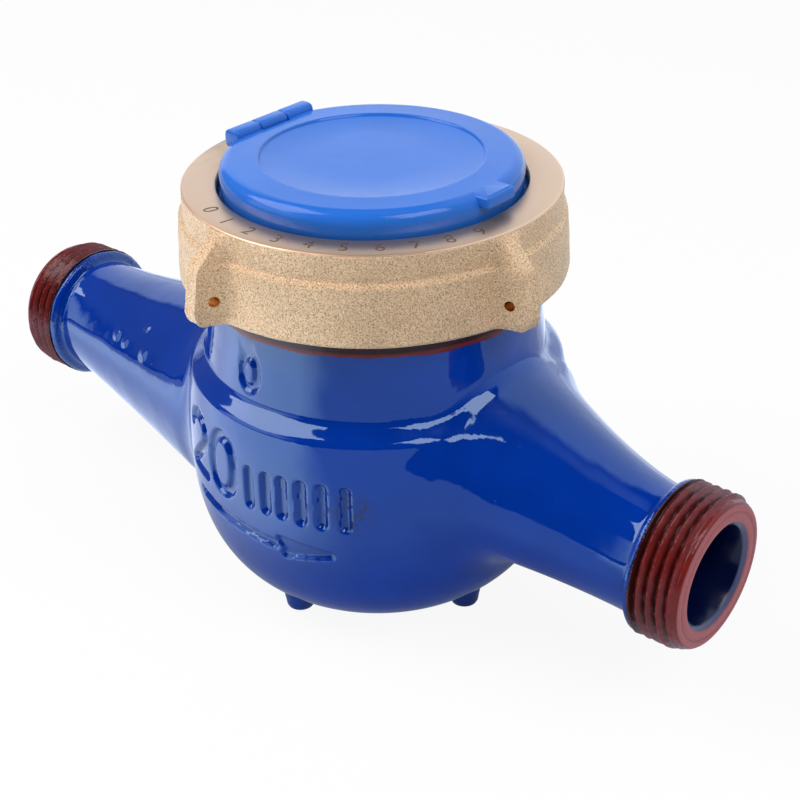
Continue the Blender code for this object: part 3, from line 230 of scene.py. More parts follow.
def turned(outline, columns=240, axis="Z"):
    """A closed outline of (radius, height) carried round an axis. Where it starts and ends on
    the axis, both ends are closed with a fan."""
    outline = np.array(outline, float)
    solid = outline[0, 0] < 1e-9 and outline[-1, 0] < 1e-9
    if solid:
        outline = outline[1:-1]
    return closed_surface(carried(outline[:, :1], full_turn(columns), outline[:, 1:], axis), along=not solid)


def rod(radius, half, columns=32, axis="Y"):
    """A round rod about the origin."""
    return turned([(0, -half), (radius, -half), (radius, half), (0, half)], columns, axis)


def rounded_box(low, high, radius, steps=4):
    """A box with round edges: each direction n of a sphere gives the point centre + (half size
    less radius) times the sign of n + radius times n."""
    low, high = np.array(low, float), np.array(high, float)
    quarter = np.concatenate([[0.01], (np.arange(steps) + 0.5) / steps * 90.0, [89.99]])
    turn = np.radians(np.concatenate([quarter + 90.0 * k for k in range(4)]))
    lift = np.radians(np.concatenate([quarter - 90.0, quarter]))[:, None]
    way = grid_of(np.cos(lift) * np.cos(turn), np.cos(lift) * np.sin(turn), np.sin(lift))
    return closed_surface(0.5 * (low + high) + (0.5 * (high - low) - radius) * np.sign(way) + radius * way)


def stroke_distance(u, v, strokes):
    """Distance from points (u, v) to the nearest of several open lines of points."""
    nearest = np.full(u.shape, np.inf)
    for line in strokes:
        for (u0, v0), (u1, v1) in zip(line, line[1:]):
            du, dv = u1 - u0, v1 - v0
            t = np.clip(((u - u0) * du + (v - v0) * dv) / max(du * du + dv * dv, 1e-9), 0.0, 1.0)
            nearest = np.minimum(nearest, np.hypot(u - u0 - t * du, v - v0 - t * dv))
    return nearest


def around_bowl(radius, degrees, height):
    """A point in the bowl's frame from its radius, direction and height."""
    angle = math.radians(degrees)
    return radius * math.cos(angle), radius * math.sin(angle), height


def placed(surface, degrees, place):
    """A surface turned about the upright line and moved to a place."""
    points, faces = surface
    c, s = math.cos(math.radians(degrees)), math.sin(math.radians(degrees))
    return points @ np.array([[c, s, 0.0], [-s, c, 0.0], [0.0, 0.0, 1.0]]) + place, faces


# Putting pieces into the scene


def add_object(name, data):
    """A new object in the scene."""
    item = bpy.data.objects.new(name, data)
    bpy.context.scene.collection.objects.link(item)
    return item


def make_object(name, surface, centre=BOWL):
    """A mesh object from (vertices, faces) in millimetres about a centre, placed in its mesh."""
    points, faces = surface
    mesh = bpy.data.meshes.new(name)
    mesh.from_pydata(((points + centre) * MM).tolist(), [], faces)
    mesh.update()
    return add_object(name, mesh)


def evaluated_mesh(item):
    """A new mesh with what an object's modifiers or curves make of it."""
    bpy.context.view_layer.update()
    return bpy.data.meshes.new_from_object(item.evaluated_get(bpy.context.evaluated_depsgraph_get()))


def carve(item, surfaces, operation="DIFFERENCE", centre=BOWL):
    """Cut surfaces out of a piece, or join them to it."""
    tools = [make_object("tool", surface, centre) for surface in surfaces]
    for tool in tools:
        step = item.modifiers.new(tool.name, "BOOLEAN")
        step.operation, step.solver, step.object = operation, "MANIFOLD", tool
    mesh = evaluated_mesh(item)
    item.modifiers.clear()
    old, item.data = item.data, mesh
    bpy.data.meshes.remove(old)
    mesh.name = item.name
    for tool in tools:
        bpy.data.objects.remove(tool, do_unlink=True)


def finish_piece(item, look, replaces=(), sharp=32.0, body="meter"):
    """Shade a piece, give it its material, and let it ride on its body."""
    item.data.materials.clear()
    item.data.materials.append(look)
    item.data.shade_smooth()
    item.data.set_sharp_from_angle(angle=math.radians(sharp))
    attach(item, body)
    if replaces:
        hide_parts(*replaces)


# Materials


class Amount:
    """A number that changes over a surface: one socket, with the arithmetic of Math nodes."""

    def __init__(self, nodes, socket):
        self.nodes, self.socket = nodes, socket

    def maths(self, operation, *values):
        """This number and others through one Math node."""
        return self.nodes.node("ShaderNodeMath", {"operation": operation}, *values)

    def __add__(self, other):
        return self.maths("ADD", self, other)

    def __sub__(self, other):
        return self.maths("SUBTRACT", self, other)

    def __rsub__(self, other):
        return self.maths("SUBTRACT", other, self)

    def __mul__(self, other):
        return self.maths("MULTIPLY", self, other)

    def __pow__(self, other):
        return self.maths("POWER", self, other)

    def __abs__(self):
        return self.maths("ABSOLUTE", self)

    __radd__ = __add__
    __rmul__ = __mul__

    def least(self, other):
        """The smaller of two numbers."""
        return self.maths("MINIMUM", self, other)

    def most(self, other):
        """The larger of two numbers."""
        return self.maths("MAXIMUM", self, other)

    def rise(self, low, high):
        """0 below low, 1 above high and a smooth step between."""
        return self.nodes.node("ShaderNodeMapRange", {"interpolation_type": "SMOOTHSTEP"}, self, low, high)

    def fall(self, low, high):
        """1 below low, 0 above high and a smooth step between."""
        return 1.0 - self.rise(low, high)


def hypot(a, b):
    """Length of two amounts at right angles."""
    return (a * a + b * b) ** 0.5


class Nodes:
    """The nodes of a material or of the world, with the shader that they feed."""

    def __init__(self, tree, shader):
        self.tree, self.shader = tree, tree.nodes[shader]

    def node(self, kind, settings, *values, output=0, **named):
        """One node of a kind, with its settings made first and then its sockets filled."""
        made = self.tree.nodes.new(kind)
        for setting, value in settings.items():
            setattr(made, setting, value)
        for socket, value in zip(made.inputs, values):
            self.fill(socket, value)
        for name, value in named.items():
            self.fill(made.inputs[name], value)
        return Amount(self, made.outputs[output])

    def fill(self, socket, value):
        """Link a socket to an amount or another socket, or set it."""
        if isinstance(value, Amount):
            value = value.socket
        if isinstance(value, bpy.types.NodeSocket):
            self.tree.links.new(value, socket)
        elif value is not None:
            if socket.type == "RGBA" and len(value) == 3:
                value = (*value, 1.0)
            socket.default_value = value

    def set(self, **values):
        """Fill sockets of the shader."""
        for name, value in values.items():
            self.fill(self.shader.inputs[name.replace("_", " ")], value)

    def mix(self, factor, first, second, how="MIX"):
        """A colour between two, by a factor."""
        made = self.node("ShaderNodeMix", {"data_type": "RGBA", "blend_type": how}, output=2)
        inputs = made.socket.node.inputs
        for socket, value in ((inputs[0], factor), (inputs[6], first), (inputs[7], second)):
            self.fill(socket, value)
        return made

    def mirrored_light(self, amount):
        """The tint of mirrored light, as strong as an amount."""
        grey = self.node("ShaderNodeCombineColor", {}, amount, amount, amount)
        return self.mix(1.0, MIRRORED_TINT, grey, "MULTIPLY")

    def rays(self):
        """1 for rays from the camera, and 1 for those that come by a mirror or through glass."""
        seen, glossy, through = [self.node("ShaderNodeLightPath", {}, output=f"Is {kind} Ray")
                                 for kind in ("Camera", "Glossy", "Transmission")]
        return seen, glossy.most(through)


class Finish(Nodes):
    """A material in the making, with its Principled shader and its place in millimetres."""

    def __init__(self, name, centre=BOWL, **constants):
        self.material = bpy.data.materials.new(name)
        self.material.use_nodes = True
        super().__init__(self.material.node_tree, "Principled BSDF")
        self.set(**constants)
        coordinates = self.node("ShaderNodeTexCoord", {}, output="Object")
        self.place = self.node("ShaderNodeMapping", {"vector_type": "POINT"}, coordinates,
                               tuple(-centre), (0.0, 0.0, 0.0), (1.0 / MM,) * 3)
        self.x, self.y, self.z = [self.node("ShaderNodeSeparateXYZ", {}, self.place, output=i)
                                  for i in range(3)]

    def noise(self, grain, detail=2.0, roughness=0.5, stretch=None):
        """Noise whose grains are about so many millimetres across, 0 to 1 round 0.5."""
        place = self.place
        if stretch:
            place = self.node("ShaderNodeVectorMath", {"operation": "MULTIPLY"}, place, stretch)
        return self.node("ShaderNodeTexNoise", {}, place, None, 1.0 / grain, detail, roughness)

    def cells(self, apart):
        """Distance to the nearest of scattered points about so many millimetres apart."""
        return self.node("ShaderNodeTexVoronoi", {}, self.place, Scale=1.0 / apart)

    def mottled(self, tone, base, share, low=0.3, high=0.7):
        """A colour that wanders between itself and a share of itself."""
        return self.mix(tone.rise(low, high), base, tuple(share * c for c in base))

    def near(self, point, reach):
        """1 at a point, falling smoothly to 0 at a distance of reach."""
        gap = self.node("ShaderNodeVectorMath", {"operation": "DISTANCE"}, self.place, point, output=1)
        return gap.fall(0.0, reach)

    def bump(self, height, distance):
        """The material, with a bump of a height in millimetres feeding Normal."""
        self.set(Normal=self.node("ShaderNodeBump", {}, 1.0, distance * MM, None, height))
        return self.material


# Painted shade: the dark blue given to the inside of the bores.
BORE_SHADE = (0.0005, 0.004, 0.035)
SEAL_HOLE_OUT = 43.4
SEAL_HOLE_LEVEL = RING_FOOT + 5.4
BLISTERS = ((73.2, 191.7, 7.4, 2.0), (69.5, 193.2, 7.0, 1.7), (63.2, 192.2, 11.7, 1.6),
            (61.8, 196.4, 7.2, 2.2))


def enamel_finish(colours):
    """Blue enamel: deep gloss with a slow wave, rare pits, a few blisters, drips and dark edges
    near the threads, brown wear by the relief and a dull bore painted dark as shade."""
    finish = Finish("Blue enamel", IOR=1.6, Specular_Tint=(0.64, 0.96, 1.0, 1.0))
    wear_place = finish.near(around_bowl(41.8, -56.5, 6.0), 8.0)
    wear = (finish.noise(1.1, 4.0, 0.7).rise(0.44, 0.62) * wear_place.rise(0.1, 0.8)).least(1.0)
    deep = finish.mottled(finish.noise(14.0, 3.0), colours.enamel, 0.86)
    from_middle = abs(finish.x + BOWL_X)
    # The bore gets painted shade as its colour, more roughness and no bump.
    bore = hypot(finish.y, finish.z).fall(10.9, 11.6) * from_middle.rise(40.0, 50.0)
    skin = 1.0 - bore
    rim = from_middle.rise(86.0, 86.6) * finish.noise(1.4, 3.0).rise(0.42, 0.58) * skin
    edge = finish.mix((rim * 0.75).least(1.0), finish.mix(bore, deep, BORE_SHADE), (0.008, 0.012, 0.03))
    specks = finish.cells(2.6).fall(0.035, 0.06) * finish.noise(9.0).rise(0.56, 0.64)
    spotted = finish.mix(specks * 0.8, edge, (0.01, 0.012, 0.02))
    finish.set(Base_Color=finish.mix(wear * 0.7, spotted, (0.022, 0.012, 0.02)),
               Roughness=0.05 + wear * 0.35 + bore * 0.4 + finish.noise(5.0).rise(0.45, 0.9) * 0.05)
    pits = finish.cells(3.1).fall(0.02, 0.09) * finish.noise(7.0).rise(0.55, 0.6)
    drips = finish.noise(1.1) * from_middle.rise(84.0, 86.0) * skin
    blisters = sum(finish.near(around_bowl(*place), reach) for *place, reach in BLISTERS)
    wave = finish.noise(9.0, 1.0) * 0.6 + finish.noise(2.6, 1.0) * 0.10 + finish.noise(0.7, 1.0) * 0.006
    return finish.bump((wave - pits * 0.12 + drips * 0.5 + blisters * 0.9) * skin, 0.36)


def primer_finish(colours):
    """Red-brown primer: satin, rubbed pale on crests and end faces, the crest lines also a painted
    highlight; painted shade in the grooves, by the collar, under the ring and in the bore, and a
    blue-grey ring where the blue of the bore comes through."""
    finish = Finish("Red primer", centre=PIPE, IOR=1.40)
    from_axis, from_middle = hypot(finish.y, finish.z), abs(finish.x)
    face = from_middle.rise(HALF_LENGTH - 0.35, HALF_LENGTH - 0.1)
    grain = finish.noise(0.55, 4.0, 0.65)
    # Partly wear and partly painted highlight: the pale lines along the thread crests stand in for glints.
    crest = from_axis.rise(16.35, 16.7) * finish.z.fall(18.0, 30.0) * grain.rise(0.42, 0.62)
    rubbed = (face + crest * 0.55).least(1.0)
    base = finish.mottled(finish.noise(3.0, 3.0), colours.primer, 1.3, 0.35, 0.7)
    # Painted shade by the collar and on the neck thread under the brass ring.
    shade = (from_middle.fall(87.1, 87.9) * from_middle.rise(60.0, 80.0)).most(finish.z.rise(39.2, 39.9))
    # Painted shade: the thread grooves are darkened.
    groove = from_axis.fall(15.4, 16.2) * from_middle.fall(HALF_LENGTH - 3.0, HALF_LENGTH - 2.4)
    chamfer = from_axis.fall(11.2, 11.7) * from_middle.rise(HALF_LENGTH - 1.6, HALF_LENGTH - 1.2)
    # The bore of the thread is given painted shade.
    bore = from_axis.fall(10.5, 10.75)
    for factor, tint in ((shade * 0.9, (0.008, 0.002, 0.002)), (groove * 0.8, (0.022, 0.003, 0.003)),
                         (rubbed * (0.55 + grain * 0.6), colours.worn_primer),
                         (chamfer, (0.055, 0.075, 0.16)), (bore, BORE_SHADE)):
        base = finish.mix(factor, base, tint)
    finish.set(Base_Color=base, Roughness=0.2 + rubbed * 0.32)
    return finish.bump((grain * 0.35 + finish.noise(2.2) * 0.5) * (1.0 - bore), 0.16)


def brass_finish(colours):
    """Cover ring: sand-cast grain on the sides, a turned and slightly stained top face, and
    bright drilled holes in the lugs."""
    finish = Finish("Cast brass")
    radius = hypot(finish.x, finish.y)
    top = finish.z.rise(RING_TOP - 0.45, RING_TOP - 0.2) * radius.rise(31.0, 32.0)
    grain, coarse = finish.noise(0.30, 2.0, 0.6), finish.noise(1.1, 3.0, 0.6)
    patches = finish.noise(11.0, 3.0, 0.55)
    cast = finish.mottled(patches, colours.brass, 0.86, 0.35, 0.75)
    spotted = finish.mix(grain.fall(0.36, 0.50) * 0.75, cast, (0.36, 0.23, 0.11))
    glint = finish.mix(grain.rise(0.54, 0.70) * 0.75, spotted, (1.0, 0.90, 0.70))
    stain_side = finish.near(around_bowl(37.0, 172.0, RING_TOP), 34.0)
    stain = (patches * 0.5 + stain_side * 0.6 + finish.noise(4.0, 4.0, 0.6) * 0.35).rise(0.5, 0.95)
    face = finish.mix(stain * 0.75, colours.machined_brass, (0.40, 0.30, 0.17))
    out, up = radius - SEAL_HOLE_OUT, finish.z - SEAL_HOLE_LEVEL
    hole = (out * out + up * up).fall(1.2, 1.35)
    finish.set(Base_Color=finish.mix(hole, finish.mix(top, glint, face), (0.66, 0.40, 0.18)),
               Roughness=0.52 + grain * 0.12 - top * 0.17 - hole * 0.35,
               Metallic=0.65 + top.most(hole) * 0.35)
    turning = finish.node("ShaderNodeTexNoise", {"noise_dimensions": "1D"}, None, radius, 3.2, 2.0, 0.6)
    height = (grain + coarse * 0.25) * (1.0 - top * 0.97) + turning * top * 0.03
    return finish.bump(height * (1.0 - hole * 0.9), 0.30)


def plastic_finish(name, base, roughness=0.3):
    """Moulded plastic: a little shade in the colour, a fine skin and a slow wave."""
    finish = Finish(name, IOR=1.5)
    finish.set(Base_Color=finish.mottled(finish.noise(12.0), base, 0.92),
               Roughness=roughness + finish.noise(3.0, 3.0).rise(0.4, 0.8) * 0.06)
    return finish.bump(finish.noise(6.0, 1.0) * 0.05 + finish.noise(0.35) * 0.02, 1.0)


def lid_finish(colours):
    """Blue lid: glossy moulded skin with faint scratches and dust on the flat top."""
    finish = Finish("Blue lid", IOR=1.34)
    scratches = finish.noise(1.0, 2.0, 0.6, stretch=(0.06, 1.0, 1.0)).rise(0.66, 0.72)
    dust = finish.cells(1.7).fall(0.03, 0.06) * finish.noise(8.0).rise(0.5, 0.6)
    base = finish.mottled(finish.noise(16.0), colours.lid, 0.93)
    finish.set(Base_Color=finish.mix(dust * 0.5, base, (0.5, 0.55, 0.7)),
               Roughness=0.13 + scratches * 0.12 + finish.noise(4.0, 3.0).rise(0.4, 0.8) * 0.06)
    return finish.bump(finish.noise(7.0, 1.0) * 0.05 + finish.noise(0.5) * 0.006, 1.0)


def metal_finish(name, base):
    """Turned metal with fine marks round it."""
    finish = Finish(name, Metallic=1.0)
    marks = finish.noise(0.25)
    finish.set(Base_Color=finish.mottled(marks, base, 0.88), Roughness=0.25 + marks * 0.1)
    return finish.bump(marks, 0.01)


def rubber_finish():
    """Black rubber with a dull skin and pale dust."""
    finish = Finish("Black rubber", IOR=1.5)
    dust = finish.noise(2.0, 4.0, 0.7).rise(0.55, 0.8)
    finish.set(Base_Color=finish.mix(dust * 0.5, (0.012, 0.012, 0.013), (0.05, 0.05, 0.05)),
               Roughness=0.6 + dust * 0.2)
    return finish.bump(finish.noise(0.4, 3.0), 0.03)


def glass_finish():
    """Clear pressed glass with a slight wave."""
    finish = Finish("Clear glass", Roughness=0.01, IOR=1.5, Transmission_Weight=1.0,
                    Base_Color=(0.93, 0.98, 0.97))
    return finish.bump(finish.noise(9.0, 1.0), 0.05)


def stamp_finish():
    """Dark, faded metal of the stamped digits."""
    finish = Finish("Stamped digits", Metallic=1.0)
    fade = finish.noise(2.0, 3.0).rise(0.3, 0.7)
    finish.set(Base_Color=finish.mix(fade, (0.20, 0.13, 0.08), (0.34, 0.24, 0.15)), Roughness=0.6)
    return finish.material


# Casting

TUBE_END = 84.3
INLET_TUBE, OUTLET_TUBE = 14.1, 13.8
BEND = 50.0
BOWL_WIDEST, BOWL_DEPTH, BOWL_FLOOR, BOWL_HALF, BOWL_POWER = 4.0, 32.6, 12.0, 42.2, 2.55
BEAD_HEIGHT = 20.3
BEAD_SPAN = (BEAD_HEIGHT + 0.3, BEAD_HEIGHT + 4.2)
NECK_RADIUS, NECK_TOP = 36.2, 46.0
MARK_RADIUS = 42.0
ARROW_PLACE = (-81.3, -5.4)
RIBS = ((-88.8, 2.9, 10.6), (-82.7, 3.0, 10.6), (-77.3, 3.0, 10.8), (-71.3, 2.6, 10.8), (-65.2, 2.5, 10.8),
        (-58.4, 2.3, 10.6))
FOOT_HEIGHT = 10.0
THREAD_START = 86.9
NECK_CREST = 36.9


def bowl_distance(radius, height):
    """Distance to bowl and neck. Below the widest height the section is a superellipse round a
    flat floor, above it a radius that narrows to the shoulder and then eases in to the neck,
    which flares a little at its foot; both distances are the implicit value over its slope."""
    a, b, n = BOWL_HALF - BOWL_FLOOR, BOWL_DEPTH + BOWL_WIDEST, BOWL_POWER
    out, down = np.maximum(radius - BOWL_FLOOR, 0.0) / a, np.maximum(BOWL_WIDEST - height, 0.0) / b
    q = np.maximum((out ** n + down ** n) ** (1.0 / n), 1e-6)
    slope = np.hypot((out / q) ** (n - 1.0) / a, (down / q) ** (n - 1.0) / b)
    lower = (q - 1.0) / np.maximum(slope, 1e-3)
    rise = np.clip((height - BOWL_WIDEST) / (BEAD_HEIGHT - BOWL_WIDEST), 0.0, 2.0)
    shoulder = BOWL_HALF - 1.25 * rise ** 2.2
    neck = NECK_RADIUS + 1.1 * (1.0 - ease(height, BEAD_SPAN[0], BEAD_SPAN[0] + 13.0))
    wall = shoulder + (neck - shoulder) * ease(height, *BEAD_SPAN)
    lean = np.where((height > BEAD_SPAN[0]) & (height < BEAD_SPAN[1]), 0.72, 1.0)
    upper = np.maximum((radius - wall) * lean, height - NECK_TOP)
    return np.where(height < BOWL_WIDEST, lower, upper)


def outlet_share(x):
    """0 at the outlet's collar, 1 where the outlet tube meets the neck."""
    return np.clip((TUBE_END - x) / (TUBE_END - BOWL_X - NECK_RADIUS), 0.0, 1.0)


def tube_section(x):
    """Radius and centre height of the tube at a place along the meter: each tube widens and
    shifts by a power of its way from the collar to the bowl."""
    into, out = np.clip((TUBE_END + x) / (TUBE_END + BOWL_X - BOWL_HALF), 0.0, 1.0), outlet_share(x)
    radius = np.where(x < BOWL_X, INLET_TUBE + 9.9 * into ** 1.25, OUTLET_TUBE + 8.1 * out ** 1.65)
    height = np.where(x < BOWL_X, -3.0 * (1.0 - (1.0 - into) ** 2), 8.4 * out ** 1.3)
    return radius, height


def casting_distance(x, y, z):
    """Distance to the casting's skin: bowl and tubes joined by a smooth union, tight below the
    neck. The outlet tube flattens to an ellipse where it meets the bowl."""
    radius, height = tube_section(x)
    flat = 0.10 * outlet_share(x) ** 3 * (x > BOWL_X)
    tube = (np.hypot(y / (1.0 + flat), (z - height) / (1.0 - flat)) - radius) * (1.0 - flat)
    return blended(bowl_distance(np.hypot(x - BOWL_X, y), z), tube, 7.0 - 4.0 * ease(z, 14.0, 24.0))


def fan(origin, tilt, around):
    """Where rays from points on the pipe axis leave the casting. A ray at a tilt from the axis
    and an angle round it has the direction (cos tilt, sin tilt cos angle, sin tilt sin angle);
    its length is found by halving, 34 times."""
    way = carried(np.sin(tilt)[:, None], around, np.cos(tilt)[:, None], "X")
    near, far = np.zeros(way.shape[:2]), np.full(way.shape[:2], HALF_LENGTH)
    for _ in range(34):
        middle = 0.5 * (near + far)
        x, y, z = np.moveaxis(way * middle[..., None], -1, 0)
        outside = casting_distance(origin[:, None] + x, y, z) > 0.0
        far, near = np.where(outside, middle, far), np.where(outside, near, middle)
    points = way * far[..., None]
    points[..., 0] += origin[:, None]
    return points


def spaced(*spans):
    """Rising values made of spans (start, end, step), each without its end."""
    return np.concatenate([np.linspace(a, b, int(round((b - a) / step)), endpoint=False)
                           for a, b, step in spans])


def digit_strokes(digit, width, height):
    """The lines of a plain 0 or 2 of a given width and height about (0, 0)."""
    w, h = 0.5 * width, 0.5 * height
    if digit == "0":
        across_part, up_part = squarish(np.linspace(0.0, 2 * np.pi, 41), 0.85)
        return [np.stack([w * across_part, h * up_part], axis=1)]
    bow = arc((0.0, h - w), w, 165.0, -38.0, 18)
    return [np.concatenate([bow, [(-w, -h), (w, -h)]])]


def cast_marks():
    """The cast marks: strokes in millimetres, the direction and height of their origin, their
    scale and the radius that they lie on."""
    degree = math.radians(1.0) * MARK_RADIUS
    yield digit_strokes("2", 8.0, 13.2), -115.6, 8.8, 1.0, MARK_RADIUS
    yield digit_strokes("0", 7.6, 13.2), -100.4, 8.8, 1.0, MARK_RADIUS
    for middle, low, high in RIBS:
        yield [[(0.0, low), (0.0, high)]], middle, 0.0, 0.95, MARK_RADIUS
    shaft = [(-33.6 * degree, 1.9), (-14.1 * degree, 0.9), (0.0, 0.0)]
    yield [shaft], *ARROW_PLACE, 0.95, MARK_RADIUS
    for share in np.linspace(0.0, 1.0, 7):
        head = [(2.0 + share, 1.7 - 1.5 * share), (18.0 * degree, 0.0), (2.8 + share, -1.9 + 1.7 * share)]
        yield [head], *ARROW_PLACE, 0.75, MARK_RADIUS
    yield digit_strokes("0", 4.4, 7.0), -94.4, 30.2, 0.78, NECK_RADIUS


def relief(points):
    """Height of the cast marks at points of the skin: across is the way round the bowl, and
    each mark is a smooth hill over the distance to its strokes."""
    x, y, height = np.moveaxis(points, -1, 0)
    angle = np.degrees(np.arctan2(y, x - BOWL_X))
    reach = size("relief_half_width")
    total = np.zeros(angle.shape)
    for strokes, middle, level, scale, at_radius in cast_marks():
        gap = stroke_distance(np.radians(angle - middle) * at_radius, height - level, strokes)
        total = np.maximum(total, scale * (1.0 - ease(gap / scale, 0.36 * reach, reach)))
    return total * size("relief_height") * (np.hypot(x - BOWL_X, y) > 30.0)


def normals(points):
    """Unit normals of a grid that closes round its columns, from its central differences."""
    wide = np.roll(points, -1, axis=1) - np.roll(points, 1, axis=1)
    normal = np.cross(wide, np.gradient(points, axis=0))
    return normal / np.maximum(np.linalg.norm(normal, axis=-1, keepdims=True), 1e-9)


def casting_skin():
    """The casting's whole outer skin as one grid. Rows square to the pipe near the ends lean
    over to rays from the bowl's middle; the relief is added along the normals."""
    around = np.radians(spaced((-167.0, 137.0, 1.7), (137.0, 193.0, 0.5)))
    steps = np.linspace(0.0, 1.0, 44, endpoint=False)
    tilts, tubes = [], []
    for side in (1.0, -1.0):
        bend, end = BOWL_X + side * BEND, side * TUBE_END
        tilt = math.atan2(float(tube_section(bend)[0]), side * BEND)
        place, lean = end + (bend - end) * steps, 0.5 * np.pi + (tilt - 0.5 * np.pi) * steps
        tubes.append(fan(place - tube_section(place)[0] / np.tan(lean), lean, around))
        tilts.append(math.degrees(tilt))
    low, high = tilts
    tilt = np.radians(np.append(spaced((low, 50.0, 1.1), (50.0, 125.0, 0.5), (125.0, high, 1.1)), high))
    middle = fan(np.full(len(tilt), BOWL_X), tilt, around)
    points = np.concatenate([tubes[0], middle, tubes[1][::-1]])
    points = points + normals(points) * relief(points)[..., None]
    return np.concatenate([collar(1.0, around), points, collar(-1.0, around)[::-1]])


def collar(side, around):
    """Collar between tube and thread: a fillet up from the tube, a round wavy edge where the
    enamel stops, and the shoulder that goes into the threaded ring."""
    wobble = 0.16 * np.sin(3.0 * around + side) + 0.10 * np.sin(7.0 * around + 2.0)
    wobble = wobble + 0.07 * np.sin(13.0 * around)
    tube = OUTLET_TUBE if side > 0 else INLET_TUBE
    step = np.array([(13.0, 87.0, 0.0), (15.9, 87.0, 0.0), (16.25, 86.8, 0.6), (16.35, 86.4, 1.0),
                     (16.3, 85.95, 0.8), (16.0, 85.55, 0.5), (15.4, 85.3, 0.3), (14.9, 85.15, 0.1),
                     (tube + 0.55, 85.0, 0.0), (tube + 0.22, 84.8, 0.0), (tube + 0.05, 84.55, 0.0)])
    radius, x, wave = step.T[..., None]
    return carried(radius + 0.35 * wobble * wave, around, side * (x + wobble * wave), "X")


def passage(side, depth, port_x, port_height, port_wide, port_tall):
    """A bore from one end that changes smoothly into the oval port of the chest."""
    around, radius, start = full_turn(96), size("bore_radius"), side * (HALF_LENGTH - depth)
    way = np.linspace(0.0, 1.0, 14)
    change = np.append(0.0, ease(way))[:, None]
    x = np.append(side * (HALF_LENGTH + 2.0), start + (port_x - start) * way)[:, None]
    wide, tall = [radius + (port - radius) * change for port in (port_wide, port_tall)]
    return closed_surface(grid_of(x, wide * np.cos(around), port_height * change + tall * np.sin(around)))


def chest():
    """The hollow for the register and the measuring chamber, turned round the bowl's axis."""
    return turned([(0, -27), (20, -27), (28, -22.2), (30, -19), (30, -9), (26, -9), (26, -5), (32, -5),
                   (32, 60), (0, 60)], 160)


def foot(degrees):
    """A short cast foot that flares into the bowl: a turned radius that eases from 3.1 to 5.2."""
    level = np.linspace(0.0, 1.0, 14)[1:]
    outline = [(0.0, 0.0), (2.4, 0.0), (2.9, 0.25), *zip(3.1 + 2.1 * level ** 1.3, FOOT_HEIGHT * level),
               (0.0, FOOT_HEIGHT)]
    points, faces = turned(outline, 48)
    return points + around_bowl(26.2, degrees, -PIPE_HEIGHT), faces


def thread_ring(side):
    """Threaded end: a sleeve whose outer radius follows a rounded helical thread. The thread's
    phase is x over pitch less the turn; depth eases in at the chamfer and out at the collar."""
    crest, bore, end = size("thread_radius"), size("bore_radius"), HALF_LENGTH
    around = full_turn(288)
    x = np.linspace(THREAD_START, end - 1.0, 110)[:, None]
    phase = x / size("thread_pitch") - side * around / (2 * np.pi)
    groove = (1.0 - 2.0 * np.abs(phase % 1.0 - 0.5)) ** 1.05
    run_out = ease(x, THREAD_START, 87.6) * (1.0 - ease(x, end - 2.2, end - 1.0))
    ripple = np.sin(5.0 * around + 9.0 * side) + np.sin(17.0 * around + 2.0 * x)
    ripple = 0.036 * (ripple + np.sin(31.0 * around - 3.1 * x) * np.sin(7.0 * around + x))
    lead = ease(x, end - 2.6, end - 1.0) ** 1.5
    outer = carried(crest - size("thread_depth") * groove * run_out - lead + ripple, around, side * x, "X")
    edge = np.array([(crest - 1.25, end - 0.55), (crest - 1.6, end - 0.18), (crest - 2.1, end), (13.9, end),
                     (13.7, end - 0.2), (13.45, end - 0.2), (13.25, end), (bore + 1.6, end),
                     (bore + 1.25, end - 0.08), (bore + 0.3, end - 0.9), (bore, end - 1.25),
                     (bore, THREAD_START + 0.05), (bore + 2.0, THREAD_START)])
    inner = carried(edge[:, :1], around, side * edge[:, 1:], "X")
    return closed_surface(np.concatenate([outer, inner]), along=True)


def neck_thread():
    """Thread at the top of the neck, over a primed band whose lower edge is wavy."""
    level = np.linspace(38.9, 48.9, 120)
    wave = 0.35 - 0.35 * np.cos(2 * np.pi * (level - 41.6) / 1.5)
    radius = NECK_CREST - wave * ease(level, 41.6, 42.6) - 0.25 * (1.0 - ease(level, 40.6, 41.4))
    points, faces = turned([(32.0, 38.6), (36.3, 38.6), (36.55, 38.7), *zip(radius, level),
                            (NECK_CREST - 0.6, 49.0), (32.0, 49.0)], 256)
    turn = np.arctan2(points[:, 1], points[:, 0])
    points[:, 2] += (0.2 * np.sin(5.0 * turn) + 0.15 * np.sin(17.0 * turn + 1.0)) * (points[:, 2] < 38.8)
    return points, faces


class WATERMETER_OT_casting(bpy.types.Operator):
    """Build the enamelled casting with its relief, feet and flow passages"""
    bl_idname = "water_meter.casting"
    bl_label = "Casting"

    def execute(self, context):
        enamel = enamel_finish(context.scene.water_meter_colours)
        skin = make_object("casting", closed_surface(casting_skin()), PIPE)
        carve(skin, [foot(-4.0 + 90.0 * i) for i in range(4)], "UNION")
        carve(skin, [chest()])
        carve(skin, [passage(-1.0, 31.0, BOWL_X - 26.0, -15.5, 11.0, 6.4),
                     passage(1.0, 15.0, BOWL_X + 28.0, 5.0, 12.0, 9.3)], centre=PIPE)
        finish_piece(skin, enamel, ["body_casting"], 45.0)
        return {"FINISHED"}


class WATERMETER_OT_threads(bpy.types.Operator):
    """Build the primed threads of the inlet, the outlet and the neck"""
    bl_idname = "water_meter.threads"
    bl_label = "Threads"

    def execute(self, context):
        primer = primer_finish(context.scene.water_meter_colours)
        for name, side in (("inlet_thread", -1.0), ("outlet_thread", 1.0)):
            finish_piece(make_object(name, thread_ring(side), PIPE), primer, (), 50.0)
        finish_piece(make_object("neck_thread", neck_thread()), primer)
        return {"FINISHED"}


# Cover ring

LUG_ANGLES = -8.5 + 90.0 * np.arange(4)
RING_BAND, RING_BORE, RING_OPENING = 39.7, 37.3, 32.4


